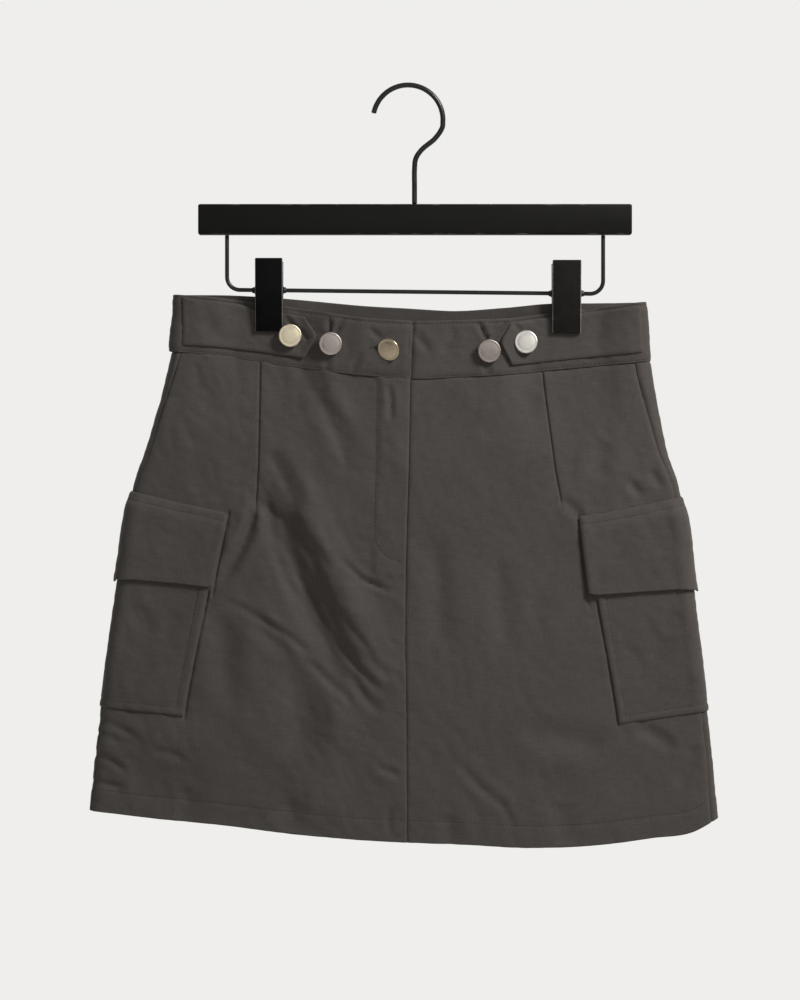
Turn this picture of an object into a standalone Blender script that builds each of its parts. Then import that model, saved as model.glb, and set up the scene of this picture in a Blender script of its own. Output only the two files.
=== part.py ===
"""Cargo utility skirt, hung flat on a two-clip trouser hanger.

The frame's origin is the inner top of the hook, where it rests on a rail. The front faces -Y,
+X is the viewer's right and +Z is up. All sizes below are millimetres; MM turns them to metres.

The skirt is one closed tube of sections, worked out level by level as a lattice of points.
Every cloth piece is a patch of that lattice, moved out past the layers under it and thickened
to its own wall.
"""
import math

import bmesh
import bpy
import numpy as np
from mathutils import Vector

MM = 0.001
COLLECTION_NAME = "cargo_utility_skirt"

# Cloth walls, the gap at a seam and the gap between layers that lie on each other.
PANEL_WALL = 1.2
BAND_WALL = 1.8
TAB_WALL = 1.5
POCKET_WALL = 1.2
FLAP_WALL = 1.5
SEAM_GAP = 0.3
LAY_GAP = 0.5
POCKET_BULGE = 3.0
POCKET_START = 1.25
FLAP_FLARE = 1.2
FLAP_RISE = 0.35
LAP_CELLS = 2
UNDERLAP_CELLS = 1.7

# Buttons
BUTTON_RADIUS = 8.9
BUTTON_THICKNESS = 2.4
BUTTON_EDGE = 0.5
SHANK_RADIUS = 2.6
SHANK_HEIGHT = 2.9

# Hanger
HOOK_WIRE = 4.0
HOOK_BEND = 27.0
HOOK_OPENS_AT = 169.0
CLIP_WIRE = 3.2
CLIP_WIRE_BEND = 10.0
CLIP_WIRE_LEFT = (-139.9, -156.4)
CLIP_WIRE_RIGHT = (150.8, -159.4)
BAR_LENGTH = 335.0
BAR_HEIGHT = 23.6
BAR_DEPTH = 12.0
BAR_CENTRE_X = 5.4
BAR_TOP_Z = -90.3
BAR_EDGE = 1.3
JAW_HEIGHT = 56.2
JAW_EDGE = 0.7
BARREL_RADIUS = 4.0
BARREL_LENGTH = 26.4
BARREL_TAPER = 2.2
BARREL_END_RADIUS = 2.4

# The hook's tail, x and z, from the end of its round bend to the bar.
HOOK_TAIL = (
    (26.2, -31.6), (20.4, -39.8), (11.4, -47.2), (6.2, -54.4), (5.0, -63.0), (5.0, -77.0),
    (5.0, BAR_TOP_Z + SEAM_GAP),
)

# Levels down the skirt: the inner face of the two side folds (x, z), then how far the cloth
# stands off the middle plane beside the folds, at the centre of the front and at the centre
# of the back, and how many rows of cells reach the next level.
LEVELS = (
    # name             left_x  left_z  right_x right_z  side  front  back  rows
    ("band_top",       -180.0,  -160.6,  182.4,  -166.2,  4.6,   6.5,   3.6,   3),
    ("waist",          -181.6,  -204.0,  186.2,  -211.4,  5.0,   8.0,   4.6,   5),
    ("hip",            -199.4,  -272.5,  198.0,  -275.5,  6.4,  12.0,   6.8,   3),
    ("flap_top",       -212.1,  -312.3,  209.8,  -316.5,  7.2,  14.0,   8.0,   4),
    ("flap_bottom",    -222.6,  -382.0,  219.2,  -389.5,  7.6,  15.0,   8.6,   6),
    ("pocket_bottom",  -236.2,  -478.3,  230.2,  -481.5,  7.0,  16.0,   8.8,   5),
    ("hem",            -244.9,  -558.2,  238.3,  -564.5,  6.2,  17.0,   9.0,   0),
)

# How far each level hangs below the straight line between its two side folds. across runs from
# -1 at the left fold to 1 at the right fold. The hem's right corner is rounded.
DROPS = (
    # across  top_back  top_front  waist  flap_top  flap_low  pocket_low  hem
    (-1.00,    0.0,      0.0,       0.0,    0.0,      0.0,      0.0,       0.0),
    (-0.80,   -0.3,      2.2,       2.6,    9.4,      4.4,      4.6,       4.9),
    (-0.60,    1.0,      6.0,       7.6,   18.2,      9.6,      9.2,       8.7),
    (-0.40,    3.4,     10.8,      12.0,   23.2,     14.6,     13.6,      14.0),
    (-0.20,    6.2,     15.8,      15.6,   26.0,     18.6,     17.2,      18.1),
    (0.00,     7.7,     17.6,      17.6,   27.0,     20.6,     19.8,      20.3),
    (0.20,     9.0,     16.5,      15.6,   25.6,     20.2,     21.2,      21.6),
    (0.40,     6.1,     14.8,      12.6,   22.0,     16.6,     20.2,      23.5),
    (0.60,     2.4,      9.7,       8.4,   16.8,     10.4,     14.0,      21.2),
    (0.80,     1.5,      4.9,       4.2,    9.6,      5.2,      6.8,      14.9),
    (0.93,     0.6,      1.7,       1.6,    3.6,      2.0,      2.4,       9.5),
    (1.00,     0.0,      0.0,       0.0,    0.0,      0.0,      0.0,       0.0),
)
BACK_WAIST_EXTRA = 1.0
BACK_HEM_SHARE = 0.78

# Lines down the front: the distance of each seam, pocket and flap edge from its side fold, seen
# from the front, and the x of the darts and of the centre line.
LINES = (
    # name           seam_l pocket_l flap_l  dart_l  centre  dart_r  flap_r pocket_r seam_r
    ("band_top",       6.4,   50.0,   57.0, -114.0,   3.2,   103.0,  61.0,   53.0,  11.0),
    ("waist",          6.4,   50.0,   57.0, -114.0,   1.4,   104.0,  61.0,   53.0,  11.0),
    ("hip",            3.4,   60.0,   66.0, -115.0,   0.0,   112.6,  69.0,   62.0,   6.4),
    ("flap_top",       2.2,   69.0,   73.0, -116.6,  -1.4,   118.6,  77.8,   73.0,   3.6),
    ("flap_bottom",    2.0,   67.8,   71.4, -110.0,  -2.4,   112.0,  79.3,   72.6,   3.4),
    ("pocket_bottom",  2.0,   63.2,   72.0, -108.0,  -1.6,   110.0,  77.0,   67.6,   3.6),
    ("hem",            2.0,   63.2,   72.0, -110.0,  -1.3,   112.0,  77.0,   67.6,   4.0),
)
BACK_POCKET = 74.0
BACK_FLAP = 80.0
ROUNDING = 8.0

# Column lines once round the tube, from the left side seam, and the cells to the next line.
COLUMNS = (
    ("seam_left", 2), ("turn_left", 4), ("pocket_left", 1), ("flap_left", 2), ("dart_left", 7),
    ("centre", 7), ("dart_right", 2), ("flap_right", 1), ("pocket_right", 4), ("turn_right", 2),
    ("seam_right", 2), ("fold_right", 3), ("back_turn_right", 4), ("back_pocket_right", 1),
    ("back_flap_right", 7), ("centre_back", 7), ("back_flap_left", 1), ("back_pocket_left", 4),
    ("back_turn_left", 3), ("fold_left", 1), ("seam_left_again", 0),
)
SECTION_STEPS = 700

# The two clips: the middle of the jaws, their width and their top. Between them the cloth is
# pinched flat, and it eases out again on both sides.
CLIPS = (
    # side     x       width  top_z
    ("left",  -107.3,  21.2, -132.4),
    ("right",  122.4,  22.2, -133.9),
)
PINCH_DEPTH = 0.6
PINCH_FLAT = 22.0
PINCH_REACH = 52.0

# Largest folds: a soft trough (+) or ridge (-) along a straight line.
FOLDS = (
    # face     x1      z1      x2      z2      width  depth
    ("front", -116.0, -322.0,  -34.0, -466.0,  13.0,   3.6),
    ("front",  -97.0, -300.0,  -14.0, -446.0,  17.0,  -3.0),
    ("front", -150.0, -500.0,  -96.0, -536.0,  14.0,   1.4),
    ("front",   60.0, -520.0,  150.0, -556.0,  16.0,   2.0),
    ("front",   20.0, -470.0,   84.0, -512.0,  18.0,  -1.4),
    ("front", -118.0, -500.0,  -60.0, -560.0,  18.0,  -1.8),
    ("front",  112.0, -345.0,   90.0, -430.0,  16.0,   1.6),
    ("back",   -90.0, -300.0,  -40.0, -420.0,  20.0,   1.8),
    ("back",    96.0, -330.0,   50.0, -450.0,  20.0,   1.6),
)

# Adjuster tabs: the x of their corners and tip, and how far down the band their upper and lower
# edges and their tip lie, as shares of its height; the last two are the edges at the side seam.
TABS = (
    # side     corner_x  tip_x   upper  lower  tip   upper_end  lower_end
    ("left",   -79.6,    -70.2,  0.13,  0.86,  0.46,  0.03,      0.90),
    ("right",   78.8,     71.8,  0.08,  0.87,  0.45,  0.05,      0.86),
)
TIP_SHARE = 0.05

# Buttons: where each sits and the layer it is sewn on.
BUTTONS = (
    # name                x       z      layer
    ("button_centre",    -13.6, -201.8, "lap"),
    ("button_tab_left",  -91.2, -192.2, "tab"),
    ("button_band_left", -59.6, -198.2, "band"),
    ("button_band_right", 62.4, -203.8, "band"),
    ("button_tab_right",  91.2, -197.0, "tab"),
)
LAYER_TOPS = {
    "band": BAND_WALL,
    "tab": BAND_WALL + LAY_GAP + TAB_WALL,
    "lap": 2.0 * BAND_WALL + LAY_GAP,
}

# Each clip jaw's outline seen from the side: distance from the middle plane, and distance
# below the jaw's top.
FRONT_JAW = (
    (10.6, 0.0), (13.4, 0.0), (7.0, JAW_HEIGHT), (4.9, JAW_HEIGHT), (4.9, 18.0),
)
BACK_JAW = (
    (10.2, 1.5), (12.8, 1.5), (7.4, JAW_HEIGHT - 1.0), (2.9, JAW_HEIGHT - 1.0), (2.9, 34.0),
    (4.9, 31.0), (4.9, 18.0),
)

MATERIALS = {
    # name: colour (sRGB hex), roughness, metallic
    "woven_cotton_nylon": ("4a4742", 0.80, 0.0),
    "satin_metal": ("cfc8bb", 0.30, 1.0),
    "black_lacquer": ("1c1b1a", 0.40, 0.0),
    "coated_wire": ("161616", 0.35, 0.0),
    "black_plastic": ("121212", 0.45, 0.0),
    "spring_steel": ("8f9092", 0.30, 1.0),
}


# ------------------------------------------------------------------------- curves and tables

def level_row(name):
    """How many rows of cells lie above a named level."""
    names = [level[0] for level in LEVELS]
    return sum(level[8] for level in LEVELS[:names.index(name)])


def column(name):
    """How many cells lie before a named column line."""
    names = [line[0] for line in COLUMNS]
    return sum(line[1] for line in COLUMNS[:names.index(name)])


def curve(knots, values, at):
    """A smooth curve through the values at the knots, read along their first axis."""
    knots = np.asarray(knots, dtype=float)
    values = np.asarray(values, dtype=float)
    slopes = np.gradient(values, knots, axis=0)
    cell = np.clip(np.searchsorted(knots, at, side="right") - 1, 0, len(knots) - 2)
    width = knots[cell + 1] - knots[cell]
    part = (at - knots[cell]) / width
    ease = part * part * (3.0 - 2.0 * part)
    leave = part * (1.0 - part) ** 2 * width
    arrive = -part * part * (1.0 - part) * width
    return (values[cell] * (1.0 - ease) + values[cell + 1] * ease
            + slopes[cell] * leave + slopes[cell + 1] * arrive)


def ease_in(value):
    """0 below 0, 1 above 1, and smooth between."""
    value = np.clip(value, 0.0, 1.0)
    return value * value * (3.0 - 2.0 * value)


def level_values(place):
    """left_x, left_z, right_x, right_z, side, front and back depth at a fractional level."""
    table = np.array([level[1:8] for level in LEVELS])
    return curve(np.arange(len(LEVELS)), table, place)


def line_values(place):
    """The numbers of LINES at a fractional level."""
    table = np.array([line[1:] for line in LINES])
    return curve(np.arange(len(LINES)), table, place)


def drop(across, place, face):
    """How far the cloth hangs below the line between its side folds."""
    table = np.array(DROPS)
    knots = table[:, 0]
    if face == "front":
        top, waist, hem = table[:, 2], table[:, 3], table[:, 7]
    else:
        top, waist, hem = table[:, 1], table[:, 1] + BACK_WAIST_EXTRA, table[:, 7] * BACK_HEM_SHARE
    hip = 0.45 * waist + 0.55 * table[:, 4]
    by_level = (top, waist, hip, table[:, 4], table[:, 5], table[:, 6], hem)
    read = np.array([curve(knots, values, across) for values in by_level])
    if face == "back":
        read[1] = read[1] * (1.0 - across ** 2) ** 0.25
    return curve(np.arange(len(LEVELS)), read, place)


# --------------------------------------------------------------------------- the skirt's tube

def pinch(x, place):
    """1 where a clip holds the cloth flat, 0 away from it."""
    held = np.zeros_like(x)
    for _side, clip_x, _width, _top in CLIPS:
        away = (np.abs(x - clip_x) - PINCH_FLAT) / (PINCH_REACH - PINCH_FLAT)
        held = np.maximum(held, 1.0 - ease_in(away))
    return held * (1.0 - ease_in((place - 0.75) / 1.25))


def fold_depth(x, z, face):
    """The sum of the large folds at points of one face, positive into the skirt."""
    total = np.zeros_like(x)
    for fold_face, x1, z1, x2, z2, width, depth in FOLDS:
        if fold_face != face:
            continue
        along_x = x2 - x1
        along_z = z2 - z1
        share = ((x - x1) * along_x + (z - z1) * along_z) / (along_x ** 2 + along_z ** 2)
        share = np.clip(share, 0.0, 1.0)
        away = np.hypot(x - x1 - share * along_x, z - z1 - share * along_z)
        total += depth * np.exp(-(away / width) ** 2)
    return total


def half_section(place, face):
    """One face of the tube's section at a level, from the left fold to the right fold."""
    left_x, left_z, right_x, right_z, side, front, back = level_values(place)
    across = -np.cos(np.linspace(0.0, math.pi, SECTION_STEPS))
    x = 0.5 * (left_x + right_x) + 0.5 * (right_x - left_x) * across
    inset = 0.5 * (right_x - left_x) * (1.0 - np.abs(across))
    turn_length = 1.1 * side
    turn = np.sqrt(1.0 - (1.0 - np.minimum(inset / turn_length, 1.0)) ** 2)
    middle = front if face == "front" else back
    depth = side + (middle - side) * (1.0 - across ** 2)
    held = pinch(x, place)
    depth = depth * (1.0 - held) + PINCH_DEPTH * held
    base_z = left_z + (right_z - left_z) * 0.5 * (1.0 + across)
    z = base_z - drop(across, place, face)
    out = turn * (depth - fold_depth(x, z, face))
    y = -out if face == "front" else out
    return np.stack([x, y, z], axis=1)


def section(place):
    """The lattice points once round the tube at a level, from the left side seam."""
    front = half_section(place, "front")
    back = half_section(place, "back")[::-1]
    ring = np.concatenate([front, back[1:]])
    steps = np.linalg.norm(np.diff(ring, axis=0), axis=1)
    arc = np.concatenate([[0.0], np.cumsum(steps)])
    fold_right = arc[SECTION_STEPS - 1]
    total = arc[-1]
    left_x, right_x = front[0, 0], front[-1, 0]
    seam_l, pocket_l, flap_l, dart_l, centre, dart_r, flap_r, pocket_r, seam_r = line_values(place)
    front_x = (left_x + seam_l, left_x + pocket_l, left_x + flap_l, dart_l, centre, dart_r,
               right_x - flap_r, right_x - pocket_r, right_x - seam_r)
    seen = np.interp(front_x, front[:, 0], arc[:SECTION_STEPS])
    seam_left, pocket_left, flap_left, dart_left, middle, dart_right = seen[:6]
    flap_right, pocket_right, seam_right = seen[6:]
    lines = (
        seam_left, seam_left + ROUNDING, pocket_left, flap_left, dart_left, middle, dart_right,
        flap_right, pocket_right, seam_right - ROUNDING, seam_right, fold_right,
        fold_right + ROUNDING, fold_right + BACK_POCKET, fold_right + BACK_FLAP,
        0.5 * (fold_right + total), total - BACK_FLAP, total - BACK_POCKET, total - ROUNDING,
        total, total + seam_left,
    )
    line_columns = [column(name) for name, _cells in COLUMNS]
    wanted = np.interp(np.arange(line_columns[-1] + 1), line_columns, lines) % total
    return np.stack([np.interp(wanted, arc, ring[:, axis]) for axis in range(3)], axis=1)


def lattice():
    """All lattice points of the tube's inner face, and the outward direction at each."""
    rows = level_row(LEVELS[-1][0])
    level_rows = [level_row(level[0]) for level in LEVELS]
    places = np.interp(np.arange(rows + 1), level_rows, np.arange(len(LEVELS)))
    points = np.array([section(place) for place in places])
    ring = points[:, :-1]
    along = np.roll(ring, -1, axis=1) - np.roll(ring, 1, axis=1)
    along = np.concatenate([along, along[:, :1]], axis=1)
    up = -np.gradient(points, axis=0)
    outward = np.cross(along, up)
    outward /= np.linalg.norm(outward, axis=2, keepdims=True)
    return points, outward


POINTS, OUTWARD = lattice()
LAST_COLUMN = POINTS.shape[1] - 1
LAST_ROW = POINTS.shape[0] - 1


def on_lattice(field, rows, columns):
    """A lattice field read between its points; columns go round the tube."""
    rows, columns = np.broadcast_arrays(rows, columns)
    columns = columns % LAST_COLUMN
    row = np.clip(np.floor(rows).astype(int), 0, LAST_ROW - 1)
    col = np.clip(np.floor(columns).astype(int), 0, LAST_COLUMN - 1)
    down = (rows - row)[..., None]
    right = (columns - col)[..., None]
    upper = field[row, col] * (1.0 - right) + field[row, col + 1] * right
    lower = field[row + 1, col] * (1.0 - right) + field[row + 1, col + 1] * right
    return upper * (1.0 - down) + lower * down


def place_out(rows, columns, out):
    """Points at fractional rows and columns, moved out from the inner face."""
    point = on_lattice(POINTS, rows, columns)
    direction = on_lattice(OUTWARD, rows, columns)
    direction /= np.linalg.norm(direction, axis=-1, keepdims=True)
    return point + direction * np.asarray(out)[..., None], direction


def band_column(x):
    """The fractional column at an x on the front of the waistband."""
    middle_row = level_row("waist") // 2
    last = column("seam_right")
    return float(np.interp(x, POINTS[middle_row, :last + 1, 0], np.arange(last + 1)))


# ------------------------------------------------------------------------------ object making

def linear(channel):
    """One sRGB channel, 0 to 1, as linear light."""
    return channel / 12.92 if channel <= 0.04045 else ((channel + 0.055) / 1.055) ** 2.4


def material(name):
    """The named finish, made once."""
    if name in bpy.data.materials:
        return bpy.data.materials[name]
    hex_colour, roughness, metallic = MATERIALS[name]
    made = bpy.data.materials.new(name)
    made.use_nodes = True
    shader = made.node_tree.nodes["Principled BSDF"]
    colour = [linear(int(hex_colour[i:i + 2], 16) / 255.0) for i in (0, 2, 4)]
    shader.inputs["Base Color"].default_value = (*colour, 1.0)
    shader.inputs["Roughness"].default_value = roughness
    shader.inputs["Metallic"].default_value = metallic
    return made


def add_object(name, data, finish, collection):
    """A named object with its finish, in the object's collection."""
    data.materials.append(material(finish))
    piece = bpy.data.objects.new(name, data)
    collection.objects.link(piece)
    return piece


def pull_in(points, amount):
    """The patch with its four edges drawn in by an amount."""
    trimmed = points.copy()
    for edge, inner in ((np.s_[:, 0], np.s_[:, 1]), (np.s_[:, -1], np.s_[:, -2]),
                        (np.s_[0], np.s_[1]), (np.s_[-1], np.s_[-2])):
        step = points[inner] - points[edge]
        length = np.linalg.norm(step, axis=-1, keepdims=True)
        trimmed[edge] += step / length * amount
    return trimmed


def cloth(name, rows, columns, out, wall, collection):
    """A cloth piece: a patch of the lattice moved out and thickened outwards."""
    points, _direction = place_out(rows, columns, out)
    points = pull_in(points, SEAM_GAP / 2.0)
    down = points.shape[0] - 1
    right = points.shape[1] - 1
    shell = bmesh.new()
    bmesh.ops.create_grid(shell, x_segments=right, y_segments=down, size=1.0)
    for vertex in shell.verts:
        i = round((1.0 - vertex.co.y) * 0.5 * down)
        j = round((vertex.co.x + 1.0) * 0.5 * right)
        vertex.co = Vector(points[i, j] * MM)
    mesh = bpy.data.meshes.new(name)
    shell.to_mesh(mesh)
    shell.free()
    mesh.shade_smooth()
    mesh.set_sharp_from_angle(angle=math.radians(40.0))
    piece = add_object(name, mesh, "woven_cotton_nylon", collection)
    solidify = piece.modifiers.new("wall", "SOLIDIFY")
    solidify.thickness = wall * MM
    solidify.offset = 1.0
    return piece


def grid_lines(first, last):
    """Whole lattice lines between two fractional ones, with both ends."""
    whole = np.arange(math.ceil(first + 0.05), math.floor(last - 0.05) + 1)
    return np.concatenate([[first], whole, [last]])


def tube_object(name, path, radius, finish, collection, resolution=3):
    """A round wire along a path of millimetre points, with filled ends."""
    data = bpy.data.curves.new(name, "CURVE")
    data.dimensions = "3D"
    data.bevel_depth = radius * MM
    data.bevel_resolution = resolution
    data.use_fill_caps = True
    spline = data.splines.new("POLY")
    spline.points.add(len(path) - 1)
    for spot, (x, y, z) in zip(spline.points, path):
        spot.co = (x * MM, y * MM, z * MM, 1.0)
    return add_object(name, data, finish, collection)


def add_bevel(piece, width, segments=2):
    """Rounded edges; scale is already applied."""
    bevel = piece.modifiers.new("edges", "BEVEL")
    bevel.width = width * MM
    bevel.segments = segments
    bevel.limit_method = "ANGLE"
    bevel.angle_limit = math.radians(30.0)


def outline_object(name, outline, width, finish, collection):
    """A side outline of (y, z) points, extruded to a width along X, as a welded mesh."""
    flat = bpy.data.curves.new(name + "_outline", "CURVE")
    flat.dimensions = "2D"
    flat.fill_mode = "BOTH"
    flat.extrude = width * 0.5 * MM
    spline = flat.splines.new("POLY")
    spline.points.add(len(outline) - 1)
    spline.use_cyclic_u = True
    for spot, (y, z) in zip(spline.points, outline):
        spot.co = (y * MM, z * MM, 0.0, 1.0)
    guide = bpy.data.objects.new(name + "_outline", flat)
    collection.objects.link(guide)
    graph = bpy.context.evaluated_depsgraph_get()
    mesh = bpy.data.meshes.new_from_object(guide.evaluated_get(graph))
    bpy.data.objects.remove(guide)
    bpy.data.curves.remove(flat)
    shell = bmesh.new()
    shell.from_mesh(mesh)
    bmesh.ops.remove_doubles(shell, verts=shell.verts, dist=0.00001)
    bmesh.ops.recalc_face_normals(shell, faces=shell.faces)
    shell.to_mesh(mesh)
    shell.free()
    mesh.materials.clear()
    mesh.name = name
    return add_object(name, mesh, finish, collection)


# ---------------------------------------------------------------------------------- the skirt

def make_panels(collection):
    """Two fronts that meet at the centre line, and the back that wraps round both folds."""
    rows = np.arange(level_row("waist"), level_row("hem") + 1)[:, None]
    spans = (
        ("front_right", column("seam_left"), column("centre")),
        ("front_left", column("centre"), column("seam_right")),
        ("back", column("seam_right"), column("seam_left_again")),
    )
    for name, first, last in spans:
        columns = np.arange(first, last + 1)[None, :]
        cloth(name, rows, columns, 0.0, PANEL_WALL, collection)


def make_waistband(collection):
    """The band: its right front laps over the underlap that its left front runs on as."""
    rows = np.arange(level_row("waist") + 1)[:, None]
    centre = column("centre")
    lap = BAND_WALL + LAY_GAP
    right = np.arange(column("seam_left"), centre + 1)
    rise = np.where(right >= centre - LAP_CELLS, lap, 0.0)
    cloth("waistband_front_right", rows, right[None, :], rise[None, :], BAND_WALL, collection)
    left = grid_lines(centre - UNDERLAP_CELLS, column("seam_right"))
    cloth("waistband_front_left", rows, left[None, :], 0.0, BAND_WALL, collection)
    back = np.arange(column("seam_right"), column("seam_left_again") + 1)
    cloth("waistband_back", rows, back[None, :], 0.0, BAND_WALL, collection)


def make_tab(side, corner_x, tip_x, upper, lower, tip, upper_end, lower_end, collection):
    """An adjuster tab from the side seam to its pointed end, on the band."""
    corner = band_column(corner_x)
    point = band_column(tip_x)
    if side == "left":
        seam = column("seam_left")
        columns = np.append(grid_lines(seam, corner), point)
        tip_index = -1
    else:
        seam = column("seam_right")
        columns = np.insert(grid_lines(corner, seam), 0, point)
        tip_index = 0
    height = level_row("waist")
    ends = np.clip((columns - corner) / (seam - corner), 0.0, 1.0)
    rows = np.stack([upper + (upper_end - upper) * ends, np.full(len(columns), tip),
                     lower + (lower_end - lower) * ends])
    rows[0, tip_index] = tip - TIP_SHARE
    rows[2, tip_index] = tip + TIP_SHARE
    out = np.full(rows.shape, BAND_WALL + LAY_GAP)
    cloth("tab_" + side, rows * height, columns[None, :], out, TAB_WALL, collection)


def pocket_columns(side, line):
    """Columns of a piece that wraps round one side fold, from its left edge to its right."""
    if side == "left":
        return np.arange(column("back_" + line + "_left") - LAST_COLUMN, column(line + "_left") + 1)
    return np.arange(column(line + "_right"), column("back_" + line + "_right") + 1)


def pocket_bulge(columns, side):
    """How far the pocket stands off, zero at both its edges and low at the side fold."""
    edges = pocket_columns(side, "pocket")
    share = np.clip((columns - edges[0]) / (edges[-1] - edges[0]), 0.0, 1.0)
    return POCKET_BULGE * np.sin(2.0 * math.pi * share) ** 2


def make_pocket(side, collection):
    """A cargo pocket round a side seam; its mouth is under the flap."""
    columns = pocket_columns(side, "pocket")
    rows = grid_lines(level_row("flap_top") + POCKET_START, level_row("pocket_bottom"))
    closing = ease_in((rows[-1] - rows) / 2.0)[:, None]
    out = PANEL_WALL + LAY_GAP + pocket_bulge(columns, side)[None, :] * closing
    cloth("pocket_" + side, rows[:, None], columns[None, :], out, POCKET_WALL, collection)


def make_flap(side, collection):
    """A pocket flap, sewn along its top and standing clear of the pocket below."""
    columns = pocket_columns(side, "flap")
    fold = column("fold_left") - LAST_COLUMN if side == "left" else column("fold_right")
    reach = np.where(columns < fold, fold - columns[0], columns[-1] - fold)
    inward = np.abs(columns - fold) / reach
    top = level_row("flap_top")
    bottom = level_row("flap_bottom") - FLAP_RISE * inward
    share = np.linspace(0.0, 1.0, level_row("flap_bottom") - top + 1)[:, None]
    rows = top + share * (bottom[None, :] - top)
    clear = PANEL_WALL + LAY_GAP + POCKET_WALL + LAY_GAP + pocket_bulge(columns, side)[None, :]
    out = np.where(share > 0.0, clear + FLAP_FLARE * share, PANEL_WALL + LAY_GAP)
    cloth("flap_" + side, rows, columns[None, :], out, FLAP_WALL, collection)


def make_button(name, x, z, layer, collection):
    """A flat metal disc on a shank, turned, square to the cloth it is sewn on."""
    col = band_column(x)
    height = level_row("waist")
    rows = np.linspace(0.0, height, 25)
    seen, _direction = place_out(rows, np.full(25, col), np.full(25, LAYER_TOPS[layer]))
    row = float(np.interp(-z, -seen[:, 2], rows))
    seat, direction = place_out(np.array([row]), np.array([col]), np.array([LAYER_TOPS[layer]]))
    top = SHANK_HEIGHT + BUTTON_THICKNESS
    profile = (
        (0.0, top), (BUTTON_RADIUS - BUTTON_EDGE, top), (BUTTON_RADIUS, top - BUTTON_EDGE),
        (BUTTON_RADIUS, SHANK_HEIGHT + BUTTON_EDGE), (BUTTON_RADIUS - BUTTON_EDGE, SHANK_HEIGHT),
        (SHANK_RADIUS, SHANK_HEIGHT), (SHANK_RADIUS, 0.0), (0.0, 0.0),
    )
    mesh = bpy.data.meshes.new(name)
    turned = bmesh.new()
    corners = [turned.verts.new((r * MM, 0.0, h * MM)) for r, h in profile]
    for start, end in zip(corners, corners[1:]):
        turned.edges.new((start, end))
    turned.to_mesh(mesh)
    turned.free()
    piece = add_object(name, mesh, "satin_metal", collection)
    screw = piece.modifiers.new("turn", "SCREW")
    screw.steps = 24
    screw.render_steps = 24
    screw.use_merge_vertices = True
    screw.merge_threshold = 0.00001
    stand = Vector(direction[0])
    piece.rotation_euler = stand.to_track_quat("Z", "Y").to_euler()
    piece.location = Vector((seat[0] + direction[0] * LAY_GAP) * MM)
    return piece


# --------------------------------------------------------------------------------- the hanger

def make_bar(collection):
    """The flat black bar."""
    bpy.ops.mesh.primitive_cube_add(size=1.0)
    bar = bpy.context.object
    bar.name = "hanger_bar"
    bar.data.name = "hanger_bar"
    for vertex in bar.data.vertices:
        vertex.co = Vector((vertex.co.x * BAR_LENGTH, vertex.co.y * BAR_DEPTH,
                            vertex.co.z * BAR_HEIGHT)) * MM
    bar.location = Vector((BAR_CENTRE_X, 0.0, BAR_TOP_Z - BAR_HEIGHT / 2.0)) * MM
    for holder in list(bar.users_collection):
        holder.objects.unlink(bar)
    collection.objects.link(bar)
    bar.data.materials.append(material("black_lacquer"))
    add_bevel(bar, BAR_EDGE)


def make_hook(collection):
    """The hook: a round bend open on the left, and a tail that swings in over the bar."""
    centre_z = HOOK_WIRE / 2.0 - HOOK_BEND
    angles = np.radians(np.arange(HOOK_OPENS_AT, -1.0, -9.0))
    bend = [(HOOK_BEND * math.cos(a), centre_z + HOOK_BEND * math.sin(a)) for a in angles]
    tail = np.array([bend[-1]] + list(HOOK_TAIL))
    steps = np.arange(len(tail))
    fine = np.linspace(0.0, steps[-1], 3 * steps[-1] + 1)[1:]
    swung = np.stack([curve(steps, tail[:, axis], fine) for axis in range(2)], axis=1)
    path = [(x, 0.0, z) for x, z in bend] + [(x, 0.0, z) for x, z in swung]
    tube_object("hanger_hook", path, HOOK_WIRE / 2.0, "coated_wire", collection)


def make_clip_wire(collection):
    """The U-shaped wire under the bar that the clips slide on."""
    bend = CLIP_WIRE_BEND
    left_x, left_z = CLIP_WIRE_LEFT
    right_x, right_z = CLIP_WIRE_RIGHT
    top = BAR_TOP_Z - BAR_HEIGHT - SEAM_GAP
    quarter = np.radians(np.arange(0.0, 91.0, 15.0))
    path = [(left_x, top)]
    path += [(left_x + bend - bend * math.cos(a), left_z + bend - bend * math.sin(a)) for a in quarter]
    path += [(right_x - bend + bend * math.sin(a), right_z + bend - bend * math.cos(a)) for a in quarter]
    path += [(right_x, top)]
    tube_object("hanger_clip_wire", [(x, 0.0, z) for x, z in path], CLIP_WIRE / 2.0, "coated_wire",
                collection)


def wire_z(x):
    """The height of the clip wire's middle at an x between its bends."""
    left_x, left_z = CLIP_WIRE_LEFT
    right_x, right_z = CLIP_WIRE_RIGHT
    start = left_x + CLIP_WIRE_BEND
    end = right_x - CLIP_WIRE_BEND
    return left_z + (right_z - left_z) * (x - start) / (end - start)


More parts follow.
